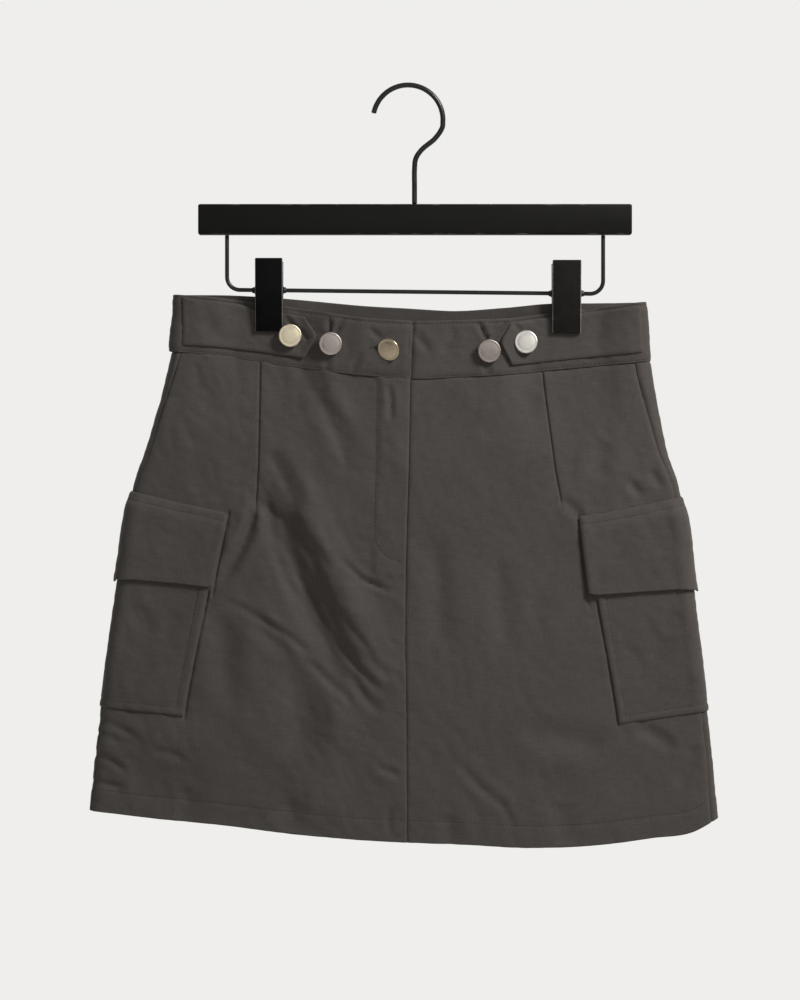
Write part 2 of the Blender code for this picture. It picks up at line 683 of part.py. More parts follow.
def make_clip(side, x, width, top_z, collection):
    """One clip: two jaws that grip the band and the spring barrel round the wire."""
    for jaw, outline, facing in (("front", FRONT_JAW, -1.0), ("back", BACK_JAW, 1.0)):
        seen = [(facing * off, top_z - below) for off, below in outline]
        piece = outline_object("clip_" + side + "_" + jaw, seen, width, "black_plastic", collection)
        turn = ((0.0, 0.0, 1.0), (1.0, 0.0, 0.0), (0.0, 1.0, 0.0))
        for vertex in piece.data.vertices:
            vertex.co = Vector([vertex.co.dot(Vector(axis)) for axis in turn])
        piece.location.x = x * MM
        add_bevel(piece, JAW_EDGE)
    mesh = bpy.data.meshes.new("clip_" + side + "_spring")
    bore = CLIP_WIRE / 2.0 + SEAM_GAP
    half = BARREL_LENGTH / 2.0
    turned = bmesh.new()
    shoulder = half - BARREL_TAPER
    profile = (
        (BARREL_END_RADIUS, half), (BARREL_RADIUS, shoulder), (BARREL_RADIUS, -shoulder),
        (BARREL_END_RADIUS, -half), (bore, -half), (bore, half),
    )
    corners = [turned.verts.new((r * MM, 0.0, h * MM)) for r, h in profile]
    for index, start in enumerate(corners):
        turned.edges.new((start, corners[(index + 1) % len(corners)]))
    turned.to_mesh(mesh)
    turned.free()
    piece = add_object("clip_" + side + "_spring", mesh, "spring_steel", collection)
    screw = piece.modifiers.new("turn", "SCREW")
    screw.steps = 20
    screw.render_steps = 20
    screw.use_merge_vertices = True
    screw.merge_threshold = 0.00001
    piece.rotation_euler = (0.0, math.radians(90.0), 0.0)
    piece.location = Vector((x, 0.0, wire_z(x))) * MM


# --------------------------------------------------------------------------------------- main

def main():
    """Build the skirt and its hanger in an empty scene."""
    for item in list(bpy.data.objects):
        bpy.data.objects.remove(item)
    collection = bpy.data.collections.new(COLLECTION_NAME)
    bpy.context.scene.collection.children.link(collection)
    make_panels(collection)
    make_waistband(collection)
    for tab in TABS:
        make_tab(*tab, collection)
    for side in ("left", "right"):
        make_pocket(side, collection)
        make_flap(side, collection)
    for button in BUTTONS:
        make_button(*button, collection)
    make_bar(collection)
    make_hook(collection)
    make_clip_wire(collection)
    for clip in CLIPS:
        make_clip(*clip, collection)


main()
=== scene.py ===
"""Cargo utility skirt on a clip hanger: the finished surfaces, laid out as an add-on.

Run as a script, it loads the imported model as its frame, makes every cloth piece, its stitches,
the buttons and the hanger, and sets the stage. Tables are in millimetres; MM turns them to metres.
"""
import math

import bmesh
import bpy
import numpy as np
from bpy.props import FloatProperty, FloatVectorProperty, IntProperty, PointerProperty
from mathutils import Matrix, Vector, noise
from mathutils.bvhtree import BVHTree


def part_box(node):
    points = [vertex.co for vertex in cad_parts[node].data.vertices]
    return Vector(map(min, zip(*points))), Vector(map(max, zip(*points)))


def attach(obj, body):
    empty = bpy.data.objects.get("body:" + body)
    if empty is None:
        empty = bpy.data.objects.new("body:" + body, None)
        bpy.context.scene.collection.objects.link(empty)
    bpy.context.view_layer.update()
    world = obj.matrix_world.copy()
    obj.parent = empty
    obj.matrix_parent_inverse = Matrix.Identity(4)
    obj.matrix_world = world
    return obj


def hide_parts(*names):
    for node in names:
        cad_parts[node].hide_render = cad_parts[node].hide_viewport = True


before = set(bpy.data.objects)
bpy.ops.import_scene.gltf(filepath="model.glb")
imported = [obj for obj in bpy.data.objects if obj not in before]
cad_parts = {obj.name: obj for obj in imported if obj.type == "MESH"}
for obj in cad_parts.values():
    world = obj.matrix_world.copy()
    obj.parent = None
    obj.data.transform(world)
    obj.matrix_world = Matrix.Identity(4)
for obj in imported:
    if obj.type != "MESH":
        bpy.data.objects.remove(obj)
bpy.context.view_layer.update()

bl_info = {
    "name": "Cargo Utility Skirt",
    "version": (1, 0, 0),
    "blender": (4, 5, 0),
    "location": "View3D > Sidebar > Skirt",
    "description": "Makes a hung cargo skirt with its clip hanger, piece by piece",
    "category": "Add Mesh",
}

MM = 0.001
BODY = "root"

# ------------------------------------------------------------------- the skirt's cut, in mm

# Levels down the skirt: the inner face of the two side folds (x, z), then how far the cloth
# stands off the middle plane beside the folds and at the centre of the front and the back,
# and how many rows of the fine lattice reach the next level.
LEVELS = (
    # name             left_x  left_z  right_x right_z  side  front  back  rows
    ("band_top",       -180.0,  -160.6,  182.4,  -166.2,  4.6,   6.5,   3.6,  40),
    ("waist",          -181.6,  -204.0,  186.2,  -211.4,  5.0,   8.0,   4.6,  60),
    ("hip",            -199.4,  -272.5,  198.0,  -275.5,  6.4,  12.0,   6.8,  36),
    ("flap_top",       -212.1,  -312.3,  209.8,  -316.5,  7.2,  14.0,   8.0,  60),
    ("flap_bottom",    -222.6,  -382.0,  219.2,  -389.5,  7.6,  15.0,   8.6,  84),
    ("pocket_bottom",  -236.2,  -478.3,  230.2,  -481.5,  7.0,  16.0,   8.8,  70),
    ("hem",            -244.9,  -558.2,  238.3,  -564.5,  6.2,  17.0,   9.0,   0),
)

# How far each level hangs below the straight line between its two side folds; across runs
# from -1 at the left fold to 1 at the right fold.
DROPS = (
    # across  top_back  top_front  waist  flap_top  flap_low  pocket_low  hem
    (-1.00,    0.0,      0.0,       0.0,    0.0,      0.0,      0.0,       0.0),
    (-0.80,   -0.3,      2.2,       2.6,    9.4,      4.4,      4.6,       4.9),
    (-0.60,    1.0,      6.0,       7.6,   18.2,      9.6,      9.2,       8.7),
    (-0.40,    3.4,     10.8,      12.0,   23.2,     14.6,     13.6,      14.0),
    (-0.20,    6.2,     15.8,      15.6,   26.0,     18.6,     17.2,      18.1),
    (0.00,     7.7,     17.6,      17.6,   27.0,     20.6,     19.8,      20.3),
    (0.20,     9.0,     16.5,      15.6,   25.6,     20.2,     21.2,      21.6),
    (0.40,     6.1,     14.8,      12.6,   22.0,     16.6,     20.2,      23.5),
    (0.60,     2.4,      9.7,       8.4,   16.8,     10.4,     14.0,      21.2),
    (0.80,     1.5,      4.9,       4.2,    9.6,      5.2,      6.8,      14.9),
    (0.93,     0.6,      1.7,       1.6,    3.6,      2.0,      2.4,       9.5),
    (1.00,     0.0,      0.0,       0.0,    0.0,      0.0,      0.0,       0.0),
)
BACK_WAIST_EXTRA = 1.0
BACK_HEM_SHARE = 0.78

# Lines down the front: the distance of each seam, pocket and flap edge from its side fold, seen
# from the front, and the x of the darts and of the centre line.
LINES = (
    # name           seam_l pocket_l flap_l  dart_l  centre  dart_r  flap_r pocket_r seam_r
    ("band_top",       6.4,   50.0,   57.0, -114.0,   3.2,   103.0,  61.0,   53.0,  11.0),
    ("waist",          6.4,   50.0,   57.0, -114.0,   1.4,   104.0,  61.0,   53.0,  11.0),
    ("hip",            3.4,   60.0,   66.0, -115.0,   0.0,   112.6,  69.0,   62.0,   6.4),
    ("flap_top",       2.2,   69.0,   73.0, -116.6,  -1.4,   118.6,  77.8,   73.0,   3.6),
    ("flap_bottom",    2.0,   67.8,   71.4, -110.0,  -2.4,   112.0,  79.3,   72.6,   3.4),
    ("pocket_bottom",  2.0,   63.2,   72.0, -108.0,  -1.6,   110.0,  77.0,   67.6,   3.6),
    ("hem",            2.0,   63.2,   72.0, -110.0,  -1.3,   112.0,  77.0,   67.6,   4.0),
)
BACK_POCKET = 74.0
BACK_FLAP = 80.0
ROUNDING = 8.0
SECTION_STEPS = 1400

# Lines once round the tube, and the columns of the fine lattice that reach the next one.
RING = (
    ("seam_left", 7), ("turn_left", 40), ("pocket_left", 6), ("flap_left", 24),
    ("dart_left", 84), ("centre", 84), ("dart_right", 16), ("flap_right", 6),
    ("pocket_right", 44), ("turn_right", 7), ("seam_right", 7), ("fold_right", 9),
    ("back_turn_right", 50), ("back_pocket_right", 6), ("back_flap_right", 110),
    ("centre_back", 110), ("back_flap_left", 6), ("back_pocket_left", 50),
    ("back_turn_left", 9), ("fold_left", 4), ("seam_left_again", 0),
)

# Clips: the middle of the jaws, their width and their top; the band is pinched flat there.
CLIPS = (
    # side     x       width  top_z
    ("left",  -107.3,  21.2, -132.4),
    ("right",  122.4,  22.2, -133.9),
)
PINCH_DEPTH = 0.6
PINCH_FLAT = 22.0
PINCH_REACH = 52.0
PINCH_LEVELS = (0.75, 2.0)

# Largest folds, which every layer follows: a soft trough (+) or ridge (-) along a line.
FOLDS = (
    # face     x1      z1      x2      z2      width  depth
    ("front", -112.0, -306.0,  -42.0, -476.0,  12.5,   7.0),
    ("front",  -94.0, -296.0,  -18.0, -458.0,  12.5,  -6.2),
    ("front",  -86.0, -440.0,  -82.0, -516.0,  13.0,   4.2),
    ("front",  -58.0, -456.0,  -58.0, -516.0,  13.0,  -3.4),
    ("front", -214.0, -500.0, -150.0, -500.0,  16.0,  -2.4),
    ("front", -214.0, -540.0, -150.0, -536.0,  20.0,   2.4),
    ("front", -150.0, -500.0,  -96.0, -536.0,  14.0,   1.4),
    ("front",   60.0, -520.0,  150.0, -556.0,  18.0,   1.2),
    ("front",   20.0, -470.0,   84.0, -512.0,  20.0,  -0.8),
    ("front", -118.0, -500.0,  -60.0, -560.0,  18.0,  -1.8),
    ("front",  112.0, -345.0,   90.0, -430.0,  16.0,   1.6),
    ("back",   -90.0, -300.0,  -40.0, -420.0,  20.0,   1.8),
    ("back",    96.0, -330.0,   50.0, -450.0,  20.0,   1.6),
    ("front", -115.0, -312.0,  -82.0, -352.0,   6.5,   2.4),
    ("front", -236.0, -503.0, -206.0, -507.0,   3.2,   1.1),
    ("front", -238.0, -537.0, -214.0, -540.0,   3.0,   1.0),
)

# Creases of single pieces: ends, how far the middle bows to the line's left,
# half width, depth (+ in, - out), and how much steeper its right side is than its left.
CREASES = (
    # piece      x1      z1      x2      z2     bow   width depth  lean
    ("front", -116.0, -314.0, -146.0, -384.0,   6.0,  3.8,  1.7,  -0.3),
    ("front", -100.0, -312.0,  -52.0, -424.0,   3.0,  3.0,  0.6,   0.4),
    ("front",  -56.0, -424.0,  -18.0, -470.0,  -2.0,  3.0,  0.7,   0.3),
    ("front",  -84.0, -436.0,  -42.0, -476.0,   0.0,  2.6,  0.6,   0.0),
    ("front",  -88.0, -372.0,  -60.0, -420.0,   0.0,  2.4,  0.5,   0.0),
    ("front",  -60.0, -398.0,  -24.0, -446.0,   2.0,  2.6,  0.5,   0.0),
    ("front", -104.0, -352.0,  -84.0, -398.0,  -2.0,  3.0,  0.5,   0.0),
    ("front", -114.0, -318.0, -104.0, -352.0,   2.0,  4.0,  1.0,   0.0),
    ("front", -108.0, -282.0,  -84.0, -330.0,   2.0,  6.0,  1.2,   0.3),
    ("front",  -67.0, -441.0,  -66.0, -497.0,   2.0, 10.0,  0.7,   0.0),
    ("front", -140.0, -408.0, -133.0, -481.0,  -5.0,  9.0,  1.3,   0.2),
    ("front", -142.0, -395.0,  -67.0, -444.0,   3.0,  2.6,  0.6,   0.0),
    ("front", -120.0, -410.0,  -92.0, -440.0,   0.0,  5.0,  0.6,   0.0),
    ("front",  -84.0, -216.0,  -46.0, -300.0,   6.0,  6.0,  0.7,   0.3),
    ("front",  -66.0, -232.0,  -46.0, -262.0,   2.0,  7.0, -0.6,   0.0),
    ("front",  -15.4, -229.0,  -14.0, -259.0,   1.0,  2.2,  0.9,   0.3),
    ("front",  -51.0, -364.0,   -6.0, -389.0,  -6.0,  2.0,  0.6,   0.0),
    ("front",  -46.0, -380.0,  -20.0, -384.0,   0.0,  2.4,  0.35,  0.0),
    ("front",  -78.0, -350.0,  -60.0, -372.0,   0.0,  4.0,  0.7,   0.0),
    ("front",  -44.0, -450.0,  -20.0, -482.0,  -3.0,  4.0,  0.7,   0.0),
    ("front",  -34.0, -438.0,  -12.0, -456.0,   0.0,  3.0,  0.5,   0.0),
    ("front", -241.0, -488.0, -203.0, -506.0,   2.0,  3.0,  0.7,   0.0),
    ("front", -242.0, -498.0, -222.0, -502.0,   0.0,  2.6,  0.4,   0.0),
    ("front", -243.0, -514.0, -217.0, -529.0,   2.0,  3.0,  0.6,   0.0),
    ("front", -245.0, -536.0, -219.0, -540.0,   0.0,  2.4,  0.5,   0.0),
    ("front", -196.0, -512.0, -172.0, -518.0,   1.0,  3.4,  0.6,   0.0),
    ("front",  -14.7, -554.0,  -15.2, -576.0,   0.0,  2.4,  0.4,   0.3),
    ("front",  -24.0, -524.0,   -6.0, -530.0,   0.0,  2.4,  0.5,   0.0),
    ("front",   38.0, -519.0,   76.0, -556.0,  -3.0,  3.4,  0.5,   0.2),
    ("front",   70.0, -548.0,   82.0, -572.0,   0.0,  3.0,  0.4,   0.0),
    ("front",  117.0, -317.0,  136.0, -336.0,   1.0,  3.2,  0.5,   0.0),
    ("front",  153.0, -274.0,  147.0, -303.0,  -2.0,  7.0,  0.9,   0.0),
    ("front",  170.0, -304.0,  180.0, -316.0,   0.0,  3.2,  0.8,   0.0),
    ("front",  186.0, -296.0,  196.0, -309.0,   0.0,  3.0,  0.6,   0.0),
    ("front",   17.0, -345.0,   25.0, -432.0,   3.0,  8.0,  0.8,   0.0),
    ("front",   71.0, -365.0,   76.0, -440.0,  -2.0,  8.0,  0.7,   0.0),
    ("front",   55.0, -270.0,  100.0, -236.0,  -3.0,  8.0,  0.7,   0.0),
    ("front",   88.0, -498.0,  150.0, -512.0,   3.0,  9.0,  0.8,   0.0),
    ("front",  176.0, -494.0,  206.0, -512.0,   2.0,  6.0,  0.9,   0.0),
    ("front",  224.0, -508.0,  206.0, -540.0,   0.0,  6.0,  0.7,   0.0),
    ("front", -166.0, -215.0, -150.0, -262.0,   2.0,  8.0,  0.5,   0.0),
    ("front",   30.0, -560.0,   33.0, -586.0,   0.0,  7.0,  0.9,   0.0),
    ("front",  118.0, -552.0,  122.0, -584.0,   0.0,  8.0,  0.9,   0.0),
    ("front",  -92.0, -548.0,  -90.0, -574.0,   0.0,  8.0,  0.8,   0.0),
    ("front", -170.0, -540.0, -168.0, -566.0,   0.0,  8.0,  0.7,   0.0),
    ("back",   -60.0, -240.0,  -30.0, -330.0,   6.0,  7.0,  0.9,   0.0),
    ("back",    70.0, -236.0,   38.0, -320.0,  -5.0,  7.0,  0.9,   0.0),
    ("back",   -20.0, -380.0,   30.0, -420.0,   4.0,  5.0,  0.8,   0.0),
    ("back",   -98.0, -330.0,  -70.0, -400.0,   4.0,  6.0,  1.1,   0.2),
    ("back",   104.0, -334.0,   80.0, -410.0,  -4.0,  6.0,  1.0,   0.0),
    ("back",   -40.0, -470.0,  -20.0, -540.0,   3.0,  8.0,  0.9,   0.0),
    ("back",    60.0, -480.0,   84.0, -545.0,   2.0,  8.0,  0.9,   0.0),
    ("back",  -236.0, -500.0, -204.0, -512.0,   0.0,  3.0,  1.1,   0.0),
    ("back",  -238.0, -528.0, -214.0, -534.0,   0.0,  2.8,  0.9,   0.0),
    ("back",   234.0, -506.0,  200.0, -520.0,   0.0,  3.0,  1.0,   0.0),
    ("back",   140.0, -500.0,   96.0, -532.0,   3.0,  4.0,  0.8,   0.0),
    ("back",  -130.0, -500.0, -100.0, -536.0,   3.0,  4.0,  0.8,   0.0),
    ("band",   -60.5, -177.0,  -60.2, -191.0,   0.0,  1.5,  0.9,   0.0),
    ("band",   -49.0, -178.0,  -57.0, -192.0,   0.0,  1.6,  0.8,   0.0),
    ("band",   -61.0, -206.0,  -63.0, -219.0,   0.0,  2.0,  0.6,   0.0),
    ("band",    54.0, -181.0,   61.0, -196.0,   0.0,  1.7,  1.0,   0.0),
    ("band",    77.0, -181.0,   63.5, -196.5,   0.0,  1.7,  1.0,   0.0),
    ("band",    62.0, -212.0,   60.0, -222.0,   0.0,  2.4,  0.6,   0.0),
    ("band",   -36.0, -206.0,  -44.0, -220.0,   0.0,  2.2,  0.6,   0.0),
    ("band",   -20.0, -196.0,  -30.0, -186.0,   0.0,  2.0,  0.5,   0.0),
    ("band",     6.0, -190.0,   16.0, -205.0,   0.0,  3.0,  0.5,   0.0),
    ("band",    36.0, -186.0,   28.0, -208.0,   0.0,  4.0,  0.5,   0.0),
    ("band",   150.0, -170.0,  134.0, -173.0,   0.0,  2.2,  0.7,   0.0),
    ("tab",    -96.0, -176.0,  -84.0, -190.0,   0.0,  2.0,  0.5,   0.0),
    ("tab",    -84.0, -186.0,  -76.0, -196.0,   0.0,  1.8,  0.5,   0.0),
    ("tab",     86.0, -190.0,   80.0, -182.0,   0.0,  1.8,  0.4,   0.0),
    ("tab",   -160.0, -176.0, -150.0, -196.0,   2.0,  6.0,  0.5,   0.0),
    ("tab",    150.0, -176.0,  140.0, -200.0,   2.0,  7.0,  0.5,   0.0),
    ("pocket", -214.0, -400.0, -196.0, -424.0,  2.0,  6.0,  0.9,   0.0),
    ("pocket", -200.0, -440.0, -216.0, -462.0,  2.0,  6.0,  0.8,   0.0),
    ("pocket", -178.0, -404.0, -188.0, -436.0,  0.0,  7.0,  0.7,   0.0),
    ("pocket",  208.0, -406.0,  196.0, -420.0,  0.0,  5.0,  1.0,   0.0),
    ("pocket",  186.0, -416.0,  192.0, -452.0,  2.0,  7.0,  0.8,   0.0),
    ("pocket",  172.0, -430.0,  182.0, -462.0,  0.0,  6.0,  0.5,   0.0),
    ("flap",   -206.0, -322.0, -196.0, -352.0,  0.0,  9.0,  0.6,   0.0),
    ("flap",   -176.0, -338.0, -168.0, -368.0,  0.0, 10.0,  0.5,   0.0),
    ("flap",    190.0, -330.0,  198.0, -362.0,  0.0,  9.0,  0.5,   0.0),
    ("flap",    156.0, -342.0,  164.0, -372.0,  0.0,  9.0,  0.5,   0.0),
)
CREASE_POINTS = 9
# Beside each crease the cloth rises: its share of the depth, and how far off and how wide it is
# in half widths of the crease.
SHOULDER_SHARE = 0.28
SHOULDER_AWAY = 2.1
SHOULDER_WIDTH = 0.9
NOWHERE_NEAR = 1e9

# Adjuster tabs and buttons
TABS = (
    # side     corner_x  tip_x   upper  lower  tip   upper_end  lower_end
    ("left",   -79.6,    -70.2,  0.13,  0.86,  0.46,  0.03,      0.90),
    ("right",   78.8,     71.8,  0.08,  0.87,  0.45,  0.05,      0.86),
)
TIP_SHARE = 0.05
# Each button's finish is one plate in lit and shaded copies: bright and pale are painted highlight,
# and shaded and dull are painted shade. The brass one has its own warmer tone, and its brightness is
# painted the same way.
BUTTONS = (
    # node                 x       z      tilt_x tilt_z finish
    ("button_centre",    -13.6, -201.8,  19.0, -24.0,  "brass"),
    ("button_tab_left",  -91.2, -192.2,  -3.0,   4.0,  "bright"),
    ("button_band_left", -59.6, -198.2,   3.0,  -2.0,  "shaded"),
    ("button_band_right", 62.4, -203.8,   4.0,   3.0,  "dull"),
    ("button_tab_right",  91.2, -197.0,  -2.0,  -3.0,  "pale"),
)
UNDERLAP_CELLS = 0.24
LAP_CELLS = 0.30
POCKET_START = 0.31
FLAP_RISE = 0.0875

# Stitching: rows that run along one edge of a piece, between two shares of that edge.
STITCH_ROWS = (
    # piece                   edge      inset  from   to
    ("front_right",           "bottom",  17.0,  0.0,   1.0),
    ("front_left",            "bottom",  17.0,  0.0,   1.0),
    ("back",                  "bottom",  17.0,  0.0,   1.0),
    ("waistband_front_right", "bottom",   1.6,  0.0,   1.0),
    ("waistband_front_right", "top",      1.8,  0.0,   1.0),
    ("waistband_front_right", "right",    1.8,  0.05,  0.95),
    ("waistband_front_left",  "bottom",   1.6,  0.2,   1.0),
    ("waistband_front_left",  "top",      1.8,  0.0,   1.0),
    ("waistband_back",        "bottom",   1.6,  0.0,   1.0),
    ("waistband_back",        "top",      1.8,  0.0,   1.0),
    ("pocket_left",           "left",     6.0,  0.0,   0.96),
    ("pocket_left",           "right",    6.0,  0.0,   0.96),
    ("pocket_left",           "bottom",   6.0,  0.02,  0.98),
    ("pocket_right",          "left",     6.0,  0.0,   0.96),
    ("pocket_right",          "right",    6.0,  0.0,   0.96),
    ("pocket_right",          "bottom",   6.0,  0.02,  0.98),
    ("flap_left",             "top",      6.0,  0.0,   1.0),
    ("flap_right",            "top",      6.0,  0.0,   1.0),
)
FLY_STITCHES = (
    (-22.9, -228.5), (-23.9, -275.0), (-24.9, -344.0), (-24.3, -350.6), (-22.4, -355.0),
    (-19.0, -359.6), (-13.9, -363.3), (-2.9, -366.4),
)
BUTTONHOLE = ((-29.0, -201.5), (-22.0, -201.5))
STITCH_PITCH = 3.1
STITCH_LENGTH = 2.3
STITCH_PULL = 0.45
THREAD_RADIUS = 0.24
TOPSTITCH_INSET = 6.0
HEM_DEPTH = 17.0

# Sewn shapes
LAY_GAP = 0.5
SEWN_GAP = 0.15
FLAP_FLARE = 0.7
DART_DEPTH = 0.8
SLIT_DEPTH = 1.3
DOUBLED_SHARE = 0.5
PATCH_GROOVE = 1.3
SEAM_ROLLS = {
    # piece         depth  half width
    "front_right": (0.45, 0.7),
    "front_left":  (1.10, 1.3),
    "back":        (0.90, 1.2),
}
BACK_DARTS = (14.45, 15.55)
FLY_WIDTH = 23.0
FLY_RISE = 0.85
FLY_END_PLACE = 3.55
TAB_LENGTH = 29.0
FLAP_LENGTH = 71.0
TAB_LIFT = 1.3
TAB_REACH = 0.50
BAND_KICKS = (
    # fold         most  middle place
    ("fold_left",   2.9,  0.80),
    ("fold_right",  1.3,  0.50),
)
BUTTON_TOP = 4.5

# Marks that a piece's mesh has beside every edge and beside a dart, in millimetres, and how far
# the even marks stay away from them
EDGE_GAP = 3.0
KNOT_GAP = 2.6
DENSE_MARKS = 900
# Edges that turn by more than this are sharp, in degrees
CLOTH_SHARP = 62.0
TURNED_SHARP = 40.0
BLOCK_SHARP = 28.0
EDGE_MARKS = np.array([0.0, 0.35, 0.8, 1.4, 2.2])
KNOT_MARKS = np.array([-1.9, -1.2, -0.7, -0.3, 0.0, 0.3, 0.7, 1.2, 1.9])

# Finishes
CLOTH_FINISH = "woven_cotton_nylon"
THREAD_FINISH = "spun_thread"
# Lit and shaded copies of one nickel plate (painted highlight and painted shade), and the brass
# plate
BUTTON_FINISHES = {
    "bright": "satin_nickel_plate",
    "shaded": "worn_nickel_plate",
    "dull": "dulled_nickel_plate",
    "pale": "pale_nickel_plate",
    "brass": "antique_brass_plate",
}
BAR_FINISH = "lacquered_wood"
WIRE_FINISH = "coated_steel_wire"
SPRING_FINISH = "spring_steel"
# The right clip's ABS is a lit copy of the left's: painted light
CLIP_FINISHES = {"left": "moulded_abs", "right": "faded_moulded_abs"}
# Painted highlights on the rounded side edges of each clip's jaws
EDGE_HIGHLIGHT_FINISHES = {"left": "worn_abs_edge", "right": "rubbed_abs_edge"}
DARK_COATS = (
    # name                    colour    rough  gloss
    # Blackened spring steel, rolled: near black, with dull glints along its coils
    (SPRING_FINISH,            "121112", 0.50,  0.12),
    # Steel wire in a sprayed coat: semi-gloss, so one soft line of light runs along it
    (WIRE_FINISH,              "19181a", 0.30,  0.40),
    # Moulded ABS: an even satin black; the right clip's copy is painted a little lighter for the
    # light that falls on it
    (CLIP_FINISHES["left"],    "070708", 0.44,  0.06),
    (CLIP_FINISHES["right"],   "151310", 0.48,  0.15),
    # The same ABS as a painted highlight along the jaws' rounded side edges, brighter on the right
    # clip
    (EDGE_HIGHLIGHT_FINISHES["left"],  "6a696a", 0.40,  0.40),
    (EDGE_HIGHLIGHT_FINISHES["right"], "8f8c88", 0.38,  0.40),
)
# Real thread spacing is about 0.35 mm; it is drawn at 0.6 mm, as coarse as it needs to show.
THREAD_SPACING = 0.0006
# Colour of the palest lit copy, a painted highlight, and the share that darkens the shaded copy into
# a deeper painted shade
HIGHLIGHT_PLATE_COLOUR = "ece8e1"
DEEP_SHADE_SHARE = 0.78
# Pale colour of the painted highlight along the bar's edges
EDGE_HIGHLIGHT_WOOD = "8f8880"
WAVE_PERIOD = 2.0 * math.pi / 20.0

# Stage
VIEW_CENTRE = (-6.2, -318.8)
VIEW_PLANE_Y = -0.004
FLOOR_RADIUS = 2.4
FLOOR_Z = -1.5
# Strength of the light that reaches the cloth from behind the viewer and from the wall beyond it
ROOM_LIGHT = 0.04
WALL_LIGHT = 0.70
LIGHTS = (
    # name   power setting  place              width height colour
    ("key",  "key_power",  (1.2, -1.0, 0.95),  0.5,  0.5,   (1.0, 0.98, 0.96)),
    ("room", "room_power", (0.2, -3.6, 0.2),   2.6,  2.2,   (1.0, 0.99, 0.98)),
    ("fill", "fill_power", (-1.6, -1.9, 0.1),  1.4,  1.8,   (0.96, 0.98, 1.0)),
)
LIT_POINT = (0.0, 0.0, -0.33)

# Hanger
HOOK_WIRE = 4.0
HOOK_BEND = 27.0
HOOK_OPENS_AT = 169.0
HOOK_TAIL = (
    (26.2, -31.6), (20.4, -39.8), (11.4, -47.2), (6.2, -54.4), (5.0, -63.0), (5.0, -77.0),
    (5.0, -90.0),
)
CLIP_WIRE = 3.2
CLIP_WIRE_BEND = 10.0
CLIP_WIRE_LEFT = (-139.9, -156.4)
CLIP_WIRE_RIGHT = (150.8, -159.4)
JAW_HEIGHT = 56.2
FRONT_JAW = (
    (10.6, 0.0), (13.4, 0.0), (7.0, JAW_HEIGHT), (4.9, JAW_HEIGHT), (4.9, 18.0),
)
BACK_JAW = (
    (10.2, 1.5), (12.8, 1.5), (7.4, JAW_HEIGHT - 1.0), (2.9, JAW_HEIGHT - 1.0), (2.9, 34.0),
    (4.9, 31.0), (4.9, 18.0),
)


def linear(hex_colour):
    """An sRGB hex colour as linear light."""
    channels = [int(hex_colour[i:i + 2], 16) / 255.0 for i in (0, 2, 4)]
    return tuple(c / 12.92 if c <= 0.04045 else ((c + 0.055) / 1.055) ** 2.4 for c in channels)


# ------------------------------------------------------------------------------- settings

class ClothSettings(bpy.types.PropertyGroup):
    """What the skirt is sewn from."""

    colour: FloatVectorProperty(
        name="Cloth colour", description="Colour of the woven cloth", subtype="COLOR",
        default=linear("46423f"), min=0.0, max=1.0)
    thread_colour: FloatVectorProperty(
        name="Thread colour", description="Colour of the stitching", subtype="COLOR",
        default=linear("3f3b37"), min=0.0, max=1.0)
    panel_wall: FloatProperty(
        name="Panel thickness", description="Wall of one panel", unit="LENGTH", default=0.0012)
    band_wall: FloatProperty(
        name="Waistband thickness", description="Wall of the doubled band", unit="LENGTH",
        default=0.0018)
    tab_wall: FloatProperty(
        name="Tab thickness", description="Wall of an adjuster tab", unit="LENGTH",
        default=0.0015)
    pocket_wall: FloatProperty(
        name="Pocket thickness", description="Wall of a pocket", unit="LENGTH", default=0.0010)
    flap_wall: FloatProperty(
        name="Flap thickness", description="Wall of a doubled flap", unit="LENGTH",
        default=0.0015)
    pocket_bulge: FloatProperty(
        name="Pocket bulge", description="How far a pocket stands off", unit="LENGTH",
        default=0.0030)
    crease_strength: FloatProperty(
        name="Crease strength", description="Scales every hand-laid crease", default=2.3)
    crinkle: FloatProperty(
        name="Crinkle", description="Height of the fine crinkle of the dry cloth",
        unit="LENGTH", default=0.00042)
    cell: FloatProperty(
        name="Cell size", description="Spacing of the cloth's mesh", unit="LENGTH",
        default=0.0021)


class HardwareSettings(bpy.types.PropertyGroup):
    """Buttons and hanger."""

    button_radius: FloatProperty(
        name="Button radius", description="Outer radius of a button's cap", unit="LENGTH",
        default=0.0089)
    # The nickel plate's lit copy: painted highlight
    lit_plate_colour: FloatVectorProperty(
        name="Button plate", description="Satin nickel plate", subtype="COLOR",
        default=linear("dbd0b6"), min=0.0, max=1.0)
    # The nickel plate's shaded copy: painted shade
    shade_plate_colour: FloatVectorProperty(
        name="Painted shade plate", description="Greyer nickel plate", subtype="COLOR",
        default=linear("bab0aa"), min=0.0, max=1.0)
    # The brass tone is its own; its brightness is painted for the light it catches
    brass_colour: FloatVectorProperty(
        name="Brass plate", description="Antique brass plate", subtype="COLOR",
        default=linear("cabaa0"), min=0.0, max=1.0)
    lacquer_colour: FloatVectorProperty(
        name="Bar lacquer", description="Black lacquer of the bar", subtype="COLOR",
        default=linear("0d0c0b"), min=0.0, max=1.0)
    wire_segments: IntProperty(
        name="Wire segments", description="Sides of a round wire", default=20)


